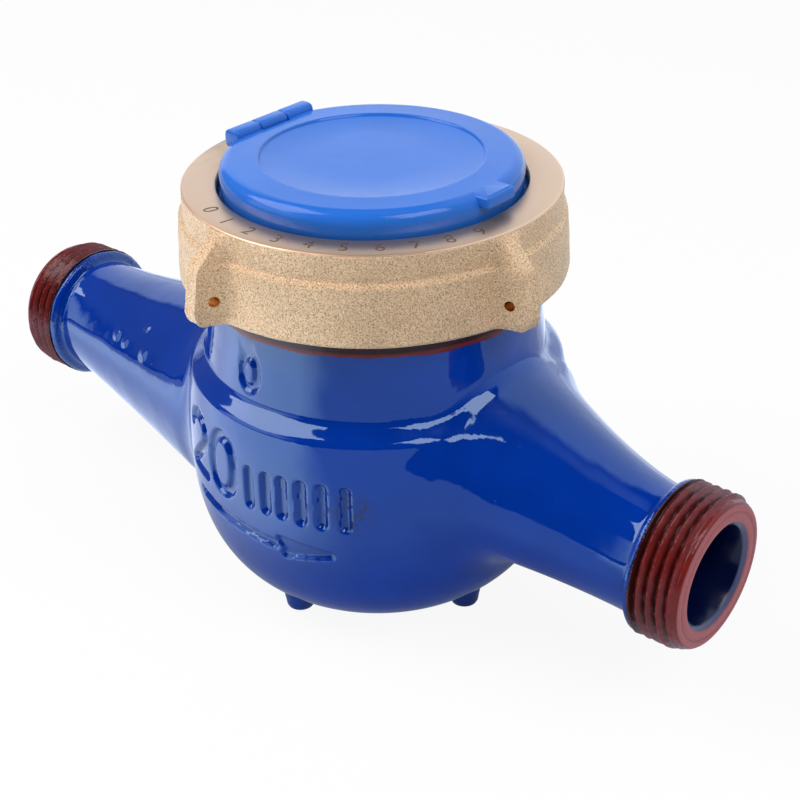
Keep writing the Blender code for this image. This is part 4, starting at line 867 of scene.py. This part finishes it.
def ring_surface():
    """The cover ring as one closed grid: a section of the ring carried round the bowl's axis.
    On the outer wall the radius grows near each lug by the lug's own outline times
    ((5.2 - t) / 3.65) to the power 2.3, with t the distance along the wall from its middle."""
    top, base_level = RING_TOP, RING_FOOT
    close, far = np.linspace(-6.6, 6.6, 133), np.linspace(7.6, 82.4, 60)
    degrees = np.sort(np.concatenate([part + angle for part in (close, far) for angle in LUG_ANGLES]))
    around = np.radians(degrees)
    height = np.linspace(base_level + 0.15, top - 0.6, 74)[:, None]
    base = np.interp(height, [base_level, base_level + 0.6, top - 6.8, top - 6.5, top - 6.1, top - 5.7,
                              top - 0.5], [41.0, 41.35, 40.62, 40.55, 40.2, 39.72, 39.66])
    lug = np.interp(height, [base_level, base_level + 0.5, base_level + 1.6, base_level + 3.2, top - 7.4,
                             top - 6.3, top - 0.5], [45.6, 46.5, 47.2, 47.55, 46.15, 45.75, 39.66])
    offset = (degrees[None, :] - LUG_ANGLES[:, None] + 180.0) % 360.0 - 180.0
    gap = np.abs(np.radians(offset)).min(axis=0) * 43.0
    share = np.clip((5.2 - gap) / 3.65, 0.0, 1.0) ** 2.3
    share = share - 0.05 * ease(share, 0.8, 1.0) * (1.0 - ease(gap, 0.0, 2.3))
    lump = 0.05 * np.sin(11.0 * around + 0.4 * height) + 0.04 * np.sin(23.0 * around - height)
    outer = carried(base + (lug - base) * share + lump, around, height)
    section = np.array([(RING_BAND - 0.12, top - 0.3), (RING_BAND - 0.35, top - 0.1), (RING_BAND - 0.75, top),
                        (36.0, top), (RING_OPENING + 0.5, top), (RING_OPENING + 0.15, top - 0.12),
                        (RING_OPENING, top - 0.45), (RING_OPENING, top - 2.4), (RING_BORE, top - 2.4),
                        (RING_BORE, base_level + 0.4), (RING_BORE + 0.4, base_level), (40.4, base_level)])
    inner = carried(section[:, :1], around, section[:, 1:])
    return closed_surface(np.concatenate([outer, inner]), along=True)


def text_surface(text, height, depth=0.02):
    """Plain raised characters as (vertices, faces) about their own middle, flat on z = 0."""
    curve = bpy.data.curves.new("text", "FONT")
    curve.body = text
    curve.size = height
    curve.align_x = curve.align_y = "CENTER"
    curve.extrude = 0.5 * depth
    holder = add_object("text", curve)
    mesh = evaluated_mesh(holder)
    points = np.zeros(len(mesh.vertices) * 3)
    mesh.vertices.foreach_get("co", points)
    faces = [list(face.vertices) for face in mesh.polygons]
    bpy.data.objects.remove(holder, do_unlink=True)
    bpy.data.curves.remove(curve)
    bpy.data.meshes.remove(mesh)
    return points.reshape(-1, 3), faces


class WATERMETER_OT_cover_ring(bpy.types.Operator):
    """Build the brass cover ring with its drilled lugs and plain stamped digits"""
    bl_idname = "water_meter.cover_ring"
    bl_label = "Cover Ring"

    def execute(self, context):
        brass = brass_finish(context.scene.water_meter_colours)
        ring = make_object("ring", ring_surface())
        drill, faces = rod(size("seal_hole_radius"), 7)
        drill = drill + (SEAL_HOLE_OUT, 0.0, SEAL_HOLE_LEVEL)
        carve(ring, [placed((drill, faces), angle, (0, 0, 0)) for angle in LUG_ANGLES])
        finish_piece(ring, brass, ["cover_ring"], 40.0)
        digits = [placed(text_surface(str(i), 4.6), angle + 90.0, around_bowl(36.1, angle, RING_TOP + 0.01))
                  for i, angle in enumerate(np.linspace(-112.0, -14.0, 10))]
        finish_piece(make_object("ring_digits", joined(digits)), stamp_finish())
        return {"FINISHED"}


# Lid, seat and hinge

LID_RADIUS = 31.6
LID_SHEET = 1.4
LID_ROLL = 2.7
HINGE_X = -29.6
LID_TOP = HINGE_LEVEL + 0.7
SEAT_SHELF = RING_TOP - 2.7
BARREL_SPLIT = 4.15
SEAT_BARREL = 3.85


def knuckle(start, end, half=2.05):
    """A hinge barrel of squarish section: (cos a, sin a) to the power 0.6 times its half size,
    drawn in a little at both ends."""
    across_part, up_part = squarish(full_turn(64), 0.6)
    along = np.array([start, start + 0.06, start + 0.2, start + 0.45, end - 0.45, end - 0.2, end - 0.06, end])
    scale = np.array([0.84, 0.93, 0.98, 1.0, 1.0, 0.98, 0.93, 0.84])[:, None] * half
    return closed_surface(grid_of(HINGE_X + scale * across_part, along[:, None],
                                  HINGE_LEVEL + scale * up_part))


def pin_rod(radius, half):
    """A rod along the hinge, as the pin or as the hole for it."""
    points, faces = rod(radius, half)
    return points + (HINGE_X, 0.0, HINGE_LEVEL), faces


class WATERMETER_OT_lid(bpy.types.Operator):
    """Build the dished lid with its rolled rim, tab and knuckles, and the seat that carries it"""
    bl_idname = "water_meter.lid"
    bl_label = "Lid"

    def execute(self, context):
        blue = lid_finish(context.scene.water_meter_colours)
        top, rim = LID_TOP, LID_RIM
        face = top - size("lid_recess")
        ceiling = face - LID_SHEET
        outline = [(0.0, ceiling), (25.6, ceiling), (27.4, ceiling - 0.05), (28.9, ceiling - 0.5),
                   (29.8, ceiling - 1.3), (30.1, ceiling - 2.2), (30.1, rim + 0.1), (30.2, rim), (31.1, rim),
                   (31.4, rim + 0.15), (31.55, rim + 0.5),
                   *arc((LID_RADIUS - LID_ROLL, top - LID_ROLL), LID_ROLL, 0.0, 90.0, 20),
                   (24.2, top), (23.75, top + 0.04), (23.45, top + 0.02), (23.3, top - 0.12),
                   (23.15, face + 0.08), (22.9, face), (12.0, face + 0.02), (0.0, face + 0.03)]
        lid = make_object("lid_cover", turned(outline, 320))
        carve(lid, [rounded_box((-40, -12.8, rim - 3), (HINGE_X + 4, 12.8, HINGE_LEVEL - 2.4), 0.2),
                    rounded_box((-40, -12.1, rim - 5), (HINGE_X, 12.8, top + 3), 0.2)])
        added = [rounded_box((27.8, -4.3, top - 2.6), (33.4, 4.3, top - 0.2), 0.45),
                 rounded_box((24.6, -3.9, top - 1.6), (32.9, 3.9, top), 0.3)]
        for start, end in ((-11.3, -BARREL_SPLIT), (BARREL_SPLIT, 12.0)):
            web = (HINGE_X, start + 0.05, HINGE_LEVEL - 1.3), (HINGE_X + 6.0, end - 0.05, top - 0.12)
            added += [rounded_box(*web, 0.3), knuckle(start, end)]
        carve(lid, added, "UNION")
        notch = (-40, -BARREL_SPLIT, rim - 3), (HINGE_X + 2.7, BARREL_SPLIT, top + 5)
        carve(lid, [rounded_box(*notch, 0.15), pin_rod(1.1, 11.0)])
        finish_piece(lid, blue, ["lid"], 40.0, "lid")
        shelf = SEAT_SHELF
        seat = make_object("seat", turned([(28.2, shelf - 1.0), (36.4, shelf - 1.0), (36.4, shelf),
                                           (31.8, shelf), (31.8, shelf + 0.5), (31.6, shelf + 0.7),
                                           (28.4, shelf + 0.7), (28.2, shelf + 0.5)], 256))
        bracket = (HINGE_X - 1.5, -SEAT_BARREL, shelf - 0.5), (HINGE_X + 1.2, SEAT_BARREL, HINGE_LEVEL - 0.9)
        carve(seat, [rounded_box(*bracket, 0.2), knuckle(-SEAT_BARREL, SEAT_BARREL)], "UNION")
        carve(seat, [pin_rod(1.1, 11.0)])
        finish_piece(seat, blue, ["lid_seat"], 40.0)
        steel = metal_finish("Hinge steel", (0.62, 0.62, 0.62))
        finish_piece(make_object("pin", pin_rod(0.8, 10.8)), steel, ["hinge_pin"])
        return {"FINISHED"}


# Window, dial and pointers

RING_SEAT = 32.4
DIAL_DIGIT_RADIUS = 7.4


class WATERMETER_OT_window(bpy.types.Operator):
    """Build the thick glass, its gasket and the slip washer"""
    bl_idname = "water_meter.window"
    bl_label = "Window"

    def execute(self, context):
        white = plastic_finish("White washer", (0.72, 0.72, 0.68))
        for node, name, look, slot in (("cover_glass", "thick_glass", glass_finish(), "clear_glass"),
                                       ("glass_gasket", "seal_ring", rubber_finish(), "black_rubber"),
                                       ("slip_washer", "washer", white, "white_plastic")):
            low, high = node_levels(node)
            radius = node_span(node)[1][0] - BOWL_X
            if node == "cover_glass":
                outline = [(0.0, low), (radius - 0.6, low), (radius, low + 0.6), (radius, high - 0.6),
                           (radius - 0.6, high), (0.0, high)]
            else:
                outline = rounded([(RING_SEAT, low), (radius, low), (radius, high), (RING_SEAT, high)], 0.2)
            finish_piece(make_object(name, turned(outline, 200)), look, [node])
        return {"FINISHED"}


def dial_centres():
    """Places of the pointers and the leak star about the bowl's axis."""
    names = ["pointer_arbor_1", "pointer_arbor_2", "pointer_arbor_3", "pointer_arbor_4", "star_arbor"]
    joints = {joint["child"]: joint["pos_m"] for joint in frame["joints"]}
    return {name: np.array(joints[name][:2]) / MM - (BOWL_X, 0.0) for name in names}


def pointer_surface(low, high):
    """A pointer: its half width is a round hub that runs out to a fine tip, and its upper side
    is crowned; rows go along it and columns round its section."""
    way = np.concatenate([np.linspace(-1.45, 1.2, 22), np.linspace(1.4, 4.8, 18)])[:, None]
    hub = np.sqrt(np.maximum(1.5 ** 2 - way ** 2, 0.0))
    blade = 0.62 * (4.85 - way) / 3.6
    half = np.where(way > 1.1, blade, np.maximum(hub, np.where(way > 0.6, 0.62, 0.02)))
    wide, tall = squarish(full_turn(24), 0.6)
    return closed_surface(grid_of(half * wide, way, low + (high - low) * (0.5 + 0.5 * tall)))


def star_surface(low, high):
    """The leak star: six points, its radius a cosine of six times the angle, domed on top."""
    around = full_turn(144)
    share = np.array([0.5, 0.97, 1.0, 1.0, 0.97, 0.85, 0.55, 0.2])[:, None]
    level = np.array([0.0, 0.0, 0.08, 0.55, 0.72, 0.85, 0.96, 1.0])[:, None]
    radius = share * (2.2 + 0.75 * np.cos(6.0 * around))
    return closed_surface(carried(radius, around, low + (high - low) * level))


def tick(centre, degrees, inner, outer, width, level):
    """A short printed line that points at a centre."""
    box = rounded_box((inner, -0.5 * width, level - 0.02), (outer, 0.5 * width, level + 0.02), 0.005, 1)
    return placed(box, degrees, (*centre, 0.0))


class WATERMETER_OT_dial(bpy.types.Operator):
    """Build the printed dial, its pointers and the leak star"""
    bl_idname = "water_meter.dial"
    bl_label = "Dial"

    def execute(self, context):
        bottom, top = node_levels("dial_plate")
        centres = dial_centres()
        plate = make_object("dial", turned([(0.0, bottom), (31.5, bottom), (31.5, top - 0.2), (31.3, top),
                                            (0.0, top)], 200))
        carve(plate, [placed(rod(0.9, 3, 24, "Z"), 0.0, (*place, top)) for place in centres.values()])
        white = plastic_finish("Dial white", (0.78, 0.78, 0.75), 0.45)
        finish_piece(plate, white, ["dial_plate"])
        ink = plastic_finish("Dial ink", tuple(context.scene.water_meter_colours.print_ink), 0.5)
        red = plastic_finish("Pointer red", tuple(context.scene.water_meter_colours.pointer))
        marks, printed = [], top + 0.02
        for name, place in list(centres.items())[:4]:
            for i in range(10):
                angle = 90.0 - 36.0 * i
                marks.append(tick(place, angle, 5.3, 6.3, 0.28, printed))
                spot = np.add(around_bowl(DIAL_DIGIT_RADIUS, angle, printed), (*place, 0.0))
                marks.append(placed(text_surface(str(i), 2.1), 0.0, spot))
        for angle in np.arange(0.0, 360.0, 7.2):
            marks.append(tick((0.0, 0.0), angle, 29.6, 30.6, 0.25, printed))
        finish_piece(make_object("dial_print", joined(marks)), ink)
        hands = [(f"hand_{i}", f"pointer_{i}", f"pointer_arbor_{i}", pointer_surface) for i in range(1, 5)]
        for name, node, body, shape in hands + [("star", "leak_star", "star_arbor", star_surface)]:
            item = make_object(name, placed(shape(*node_levels(node)), 0.0, (*centres[body], 0.0)))
            finish_piece(item, red, [node], body=body)
        return {"FINISHED"}


class WATERMETER_OT_inside(bpy.types.Operator):
    """Give the pieces inside the meter their finishes"""
    bl_idname = "water_meter.inside"
    bl_label = "Inside"

    def execute(self, context):
        looks = {"white_plastic": plastic_finish("Moulded white", (0.74, 0.74, 0.70), 0.42),
                 "grey_plastic": plastic_finish("Moulded grey", (0.32, 0.33, 0.35), 0.5),
                 "stainless": metal_finish("Turned steel", (0.62, 0.62, 0.62)),
                 "black_rubber": bpy.data.materials["Black rubber"]}
        slots = {part["node"]: part["material_slot"] for part in frame["record"]["subparts"]}
        for name, node in frame["nodes"].items():
            if not node.hide_render:
                node.data.materials.clear()
                node.data.materials.append(looks[slots[name]])
        return {"FINISHED"}


# Stage

MIRRORED_TINT = (0.86, 0.96, 1.15)
CAMERA_AZIMUTH, CAMERA_ELEVATION, CAMERA_ROLL = 40.757, 30.128, -1.05
CAMERA_DISTANCE = 0.3489


def set_matrix(item, right, up, back, place):
    """Place a camera or lamp by its three directions."""
    rows = np.eye(4)
    rows[:3, 0], rows[:3, 1], rows[:3, 2], rows[:3, 3] = right, up, back, place
    item.matrix_world = Matrix(rows.tolist())


def add_lamp(name, azimuth, elevation, width, height, radiance):
    """A soft rectangular lamp that faces the meter from a direction, in degrees from +X."""
    light = bpy.data.lights.new(name, "AREA")
    light.shape = "RECTANGLE"
    light.size, light.size_y = width, height
    light.energy = radiance * math.pi * width * height
    light.color = (1.0, 0.90, 0.94)
    a, e = math.radians(azimuth), math.radians(elevation)
    way = np.array([math.cos(a) * math.cos(e), math.sin(a) * math.cos(e), math.sin(e)])
    right = np.array([-math.sin(a), math.cos(a), 0.0])
    place = np.array([BOWL_X * MM, 0.0, 0.05]) + way * size("lamp_distance") * MM
    set_matrix(add_object(name, light), right, np.cross(way, right), way, place)


def add_camera():
    """Camera at the photograph's angle, rolled a little."""
    azimuth, elevation, roll = np.radians([CAMERA_AZIMUTH, CAMERA_ELEVATION, CAMERA_ROLL])
    back = np.array([math.sin(azimuth) * math.cos(elevation), -math.cos(azimuth) * math.cos(elevation),
                     math.sin(elevation)])
    right = np.cross(-back, (0.0, 0.0, 1.0))
    right /= np.linalg.norm(right)
    up = np.cross(right, -back)
    right, up = math.cos(roll) * right + math.sin(roll) * up, math.cos(roll) * up - math.sin(roll) * right
    camera = bpy.data.cameras.new("camera")
    camera.lens, camera.sensor_width, camera.clip_start = 70.993, 36.0, 0.01
    item = add_object("camera", camera)
    target = np.array([16.08, 0.0, PIPE_HEIGHT + 10.54]) * MM
    set_matrix(item, right, up, back, target + back * CAMERA_DISTANCE)
    bpy.context.scene.camera = item


def floor_material():
    """Pale floor: white to the eye with the meter's shadow kept. In reflections it is a table of
    painted light that is bright on the left, dim on the right and dark past its front edge, with a
    painted shadow round the meter."""
    finish = Finish("Pale floor", centre=np.zeros(3), Base_Color=(0.93, 0.93, 0.93), Roughness=0.9)
    x, y = finish.x, finish.y
    seen, mirrored = finish.rays()
    # Painted light: in reflections the table glows brighter on the left.
    left = x.fall(-15.0, 60.0) * x.rise(-420.0, -300.0) * (y.fall(-95.0, -35.0) * 1.15 + 0.8)
    behind = y.rise(150.0, 300.0) * x.fall(0.0, 300.0) * 0.9
    table = (y.rise(-400.0, -340.0) * (left + 0.68)).most(behind)
    # Painted shadow: in reflections the table is dimmed round the meter.
    lit = table * (hypot(x - BOWL_X, y).rise(35.0, 95.0) * 0.75 + 0.25)
    glow = finish.mix(seen, finish.mirrored_light(lit), (1.0, 1.0, 1.0))
    white = finish.node("ShaderNodeEmission", {}, glow)
    share = (seen * 0.92 + mirrored).least(1.0)
    mixed = finish.node("ShaderNodeMixShader", {}, share, finish.shader.outputs[0], white)
    finish.fill(finish.tree.nodes["Material Output"].inputs["Surface"], mixed)
    return finish.material


def world_light():
    """World: white to the eye, an even dim light on matt surfaces, and in reflections a pale
    cloth behind the meter, a lit panel on the left and darkness between them."""
    world = bpy.data.worlds.new("Studio")
    bpy.context.scene.world = world
    world.use_nodes = True
    nodes = Nodes(world.node_tree, "Background")
    way = nodes.node("ShaderNodeTexCoord", {}, output="Generated")
    x, y, z = [nodes.node("ShaderNodeSeparateXYZ", {}, way, output=i) for i in range(3)]
    turn = x.maths("ARCTAN2", y, x) * math.degrees(1.0)
    lift = z.maths("ARCSINE", z) * math.degrees(1.0)
    panel = turn.rise(-152.0, -146.0) * turn.fall(-118.0, -92.0)
    panel = panel * lift.rise(-14.0, -8.0) * lift.fall(30.0, 36.0)
    top = turn.rise(25.0, 45.0) * 33.0 - turn.rise(85.0, 125.0) * 26.0 + 35.0
    cloth = turn.rise(-25.0, 25.0) * turn.fall(160.0, 167.0) * (lift - top).fall(-6.0, 6.0)
    cloth = cloth * (turn.rise(15.0, 60.0) * 0.42 + 0.82)
    over = lift.rise(64.0, 82.0) * turn.rise(-40.0, 20.0) * 0.45
    side = turn.fall(-158.0, -150.0).most(turn.rise(160.0, 170.0)) * lift.fall(40.0, 60.0) * 0.2
    glow = (panel * 1.75).most(cloth).most(over).most(side).most(0.01)
    seen, mirrored = nodes.rays()
    strength = nodes.mix(mirrored, (0.32, 0.32, 0.32), nodes.mirrored_light(glow))
    nodes.set(Color=nodes.mix(seen, strength, (1.0, 1.0, 1.0)))


class WATERMETER_OT_stage(bpy.types.Operator):
    """Set up the pale floor, the soft lamps, the world and the camera"""
    bl_idname = "water_meter.stage"
    bl_label = "Stage"

    def execute(self, context):
        half = 0.5 * size("floor_size")
        corners = np.array([(-half, -half, 0), (half, -half, 0), (half, half, 0), (-half, half, 0)])
        floor = make_object("floor", (corners, [(0, 1, 2, 3)]), np.zeros(3))
        floor.data.materials.append(floor_material())
        add_lamp("left_lamp", -139.0, 49.0, 0.62, 0.58, 5.4)
        add_lamp("right_lamp", -6.0, 50.0, 0.52, 0.44, 5.3)
        world_light()
        add_camera()
        context.scene.view_settings.view_transform = "Standard"
        return {"FINISHED"}


class WATERMETER_PT_build(bpy.types.Panel):
    """Buttons that build the meter"""
    bl_label = "Water Meter"
    bl_idname = "WATERMETER_PT_build"
    bl_space_type = "VIEW_3D"
    bl_region_type = "UI"
    bl_category = "Water Meter"

    def draw(self, context):
        for group in (context.scene.water_meter_sizes, context.scene.water_meter_colours):
            for key in group.bl_rna.properties.keys()[2:]:
                self.layout.prop(group, key)
        for operator in OPERATORS:
            self.layout.operator(operator.bl_idname)


OPERATORS = (WATERMETER_OT_casting, WATERMETER_OT_threads, WATERMETER_OT_cover_ring, WATERMETER_OT_lid,
             WATERMETER_OT_window, WATERMETER_OT_dial, WATERMETER_OT_inside, WATERMETER_OT_stage)
CLASSES = (WaterMeterSizes, WaterMeterColours) + OPERATORS + (WATERMETER_PT_build,)


def register():
    for item in CLASSES:
        bpy.utils.register_class(item)
    bpy.types.Scene.water_meter_sizes = bpy.props.PointerProperty(type=WaterMeterSizes)
    bpy.types.Scene.water_meter_colours = bpy.props.PointerProperty(type=WaterMeterColours)


def unregister():
    del bpy.types.Scene.water_meter_colours
    del bpy.types.Scene.water_meter_sizes
    for item in reversed(CLASSES):
        bpy.utils.unregister_class(item)


def main():
    """Build every group in order."""
    register()
    for operator in OPERATORS:
        group, name = operator.bl_idname.split(".")
        getattr(getattr(bpy.ops, group), name)()


if __name__ == "__main__":
    main()
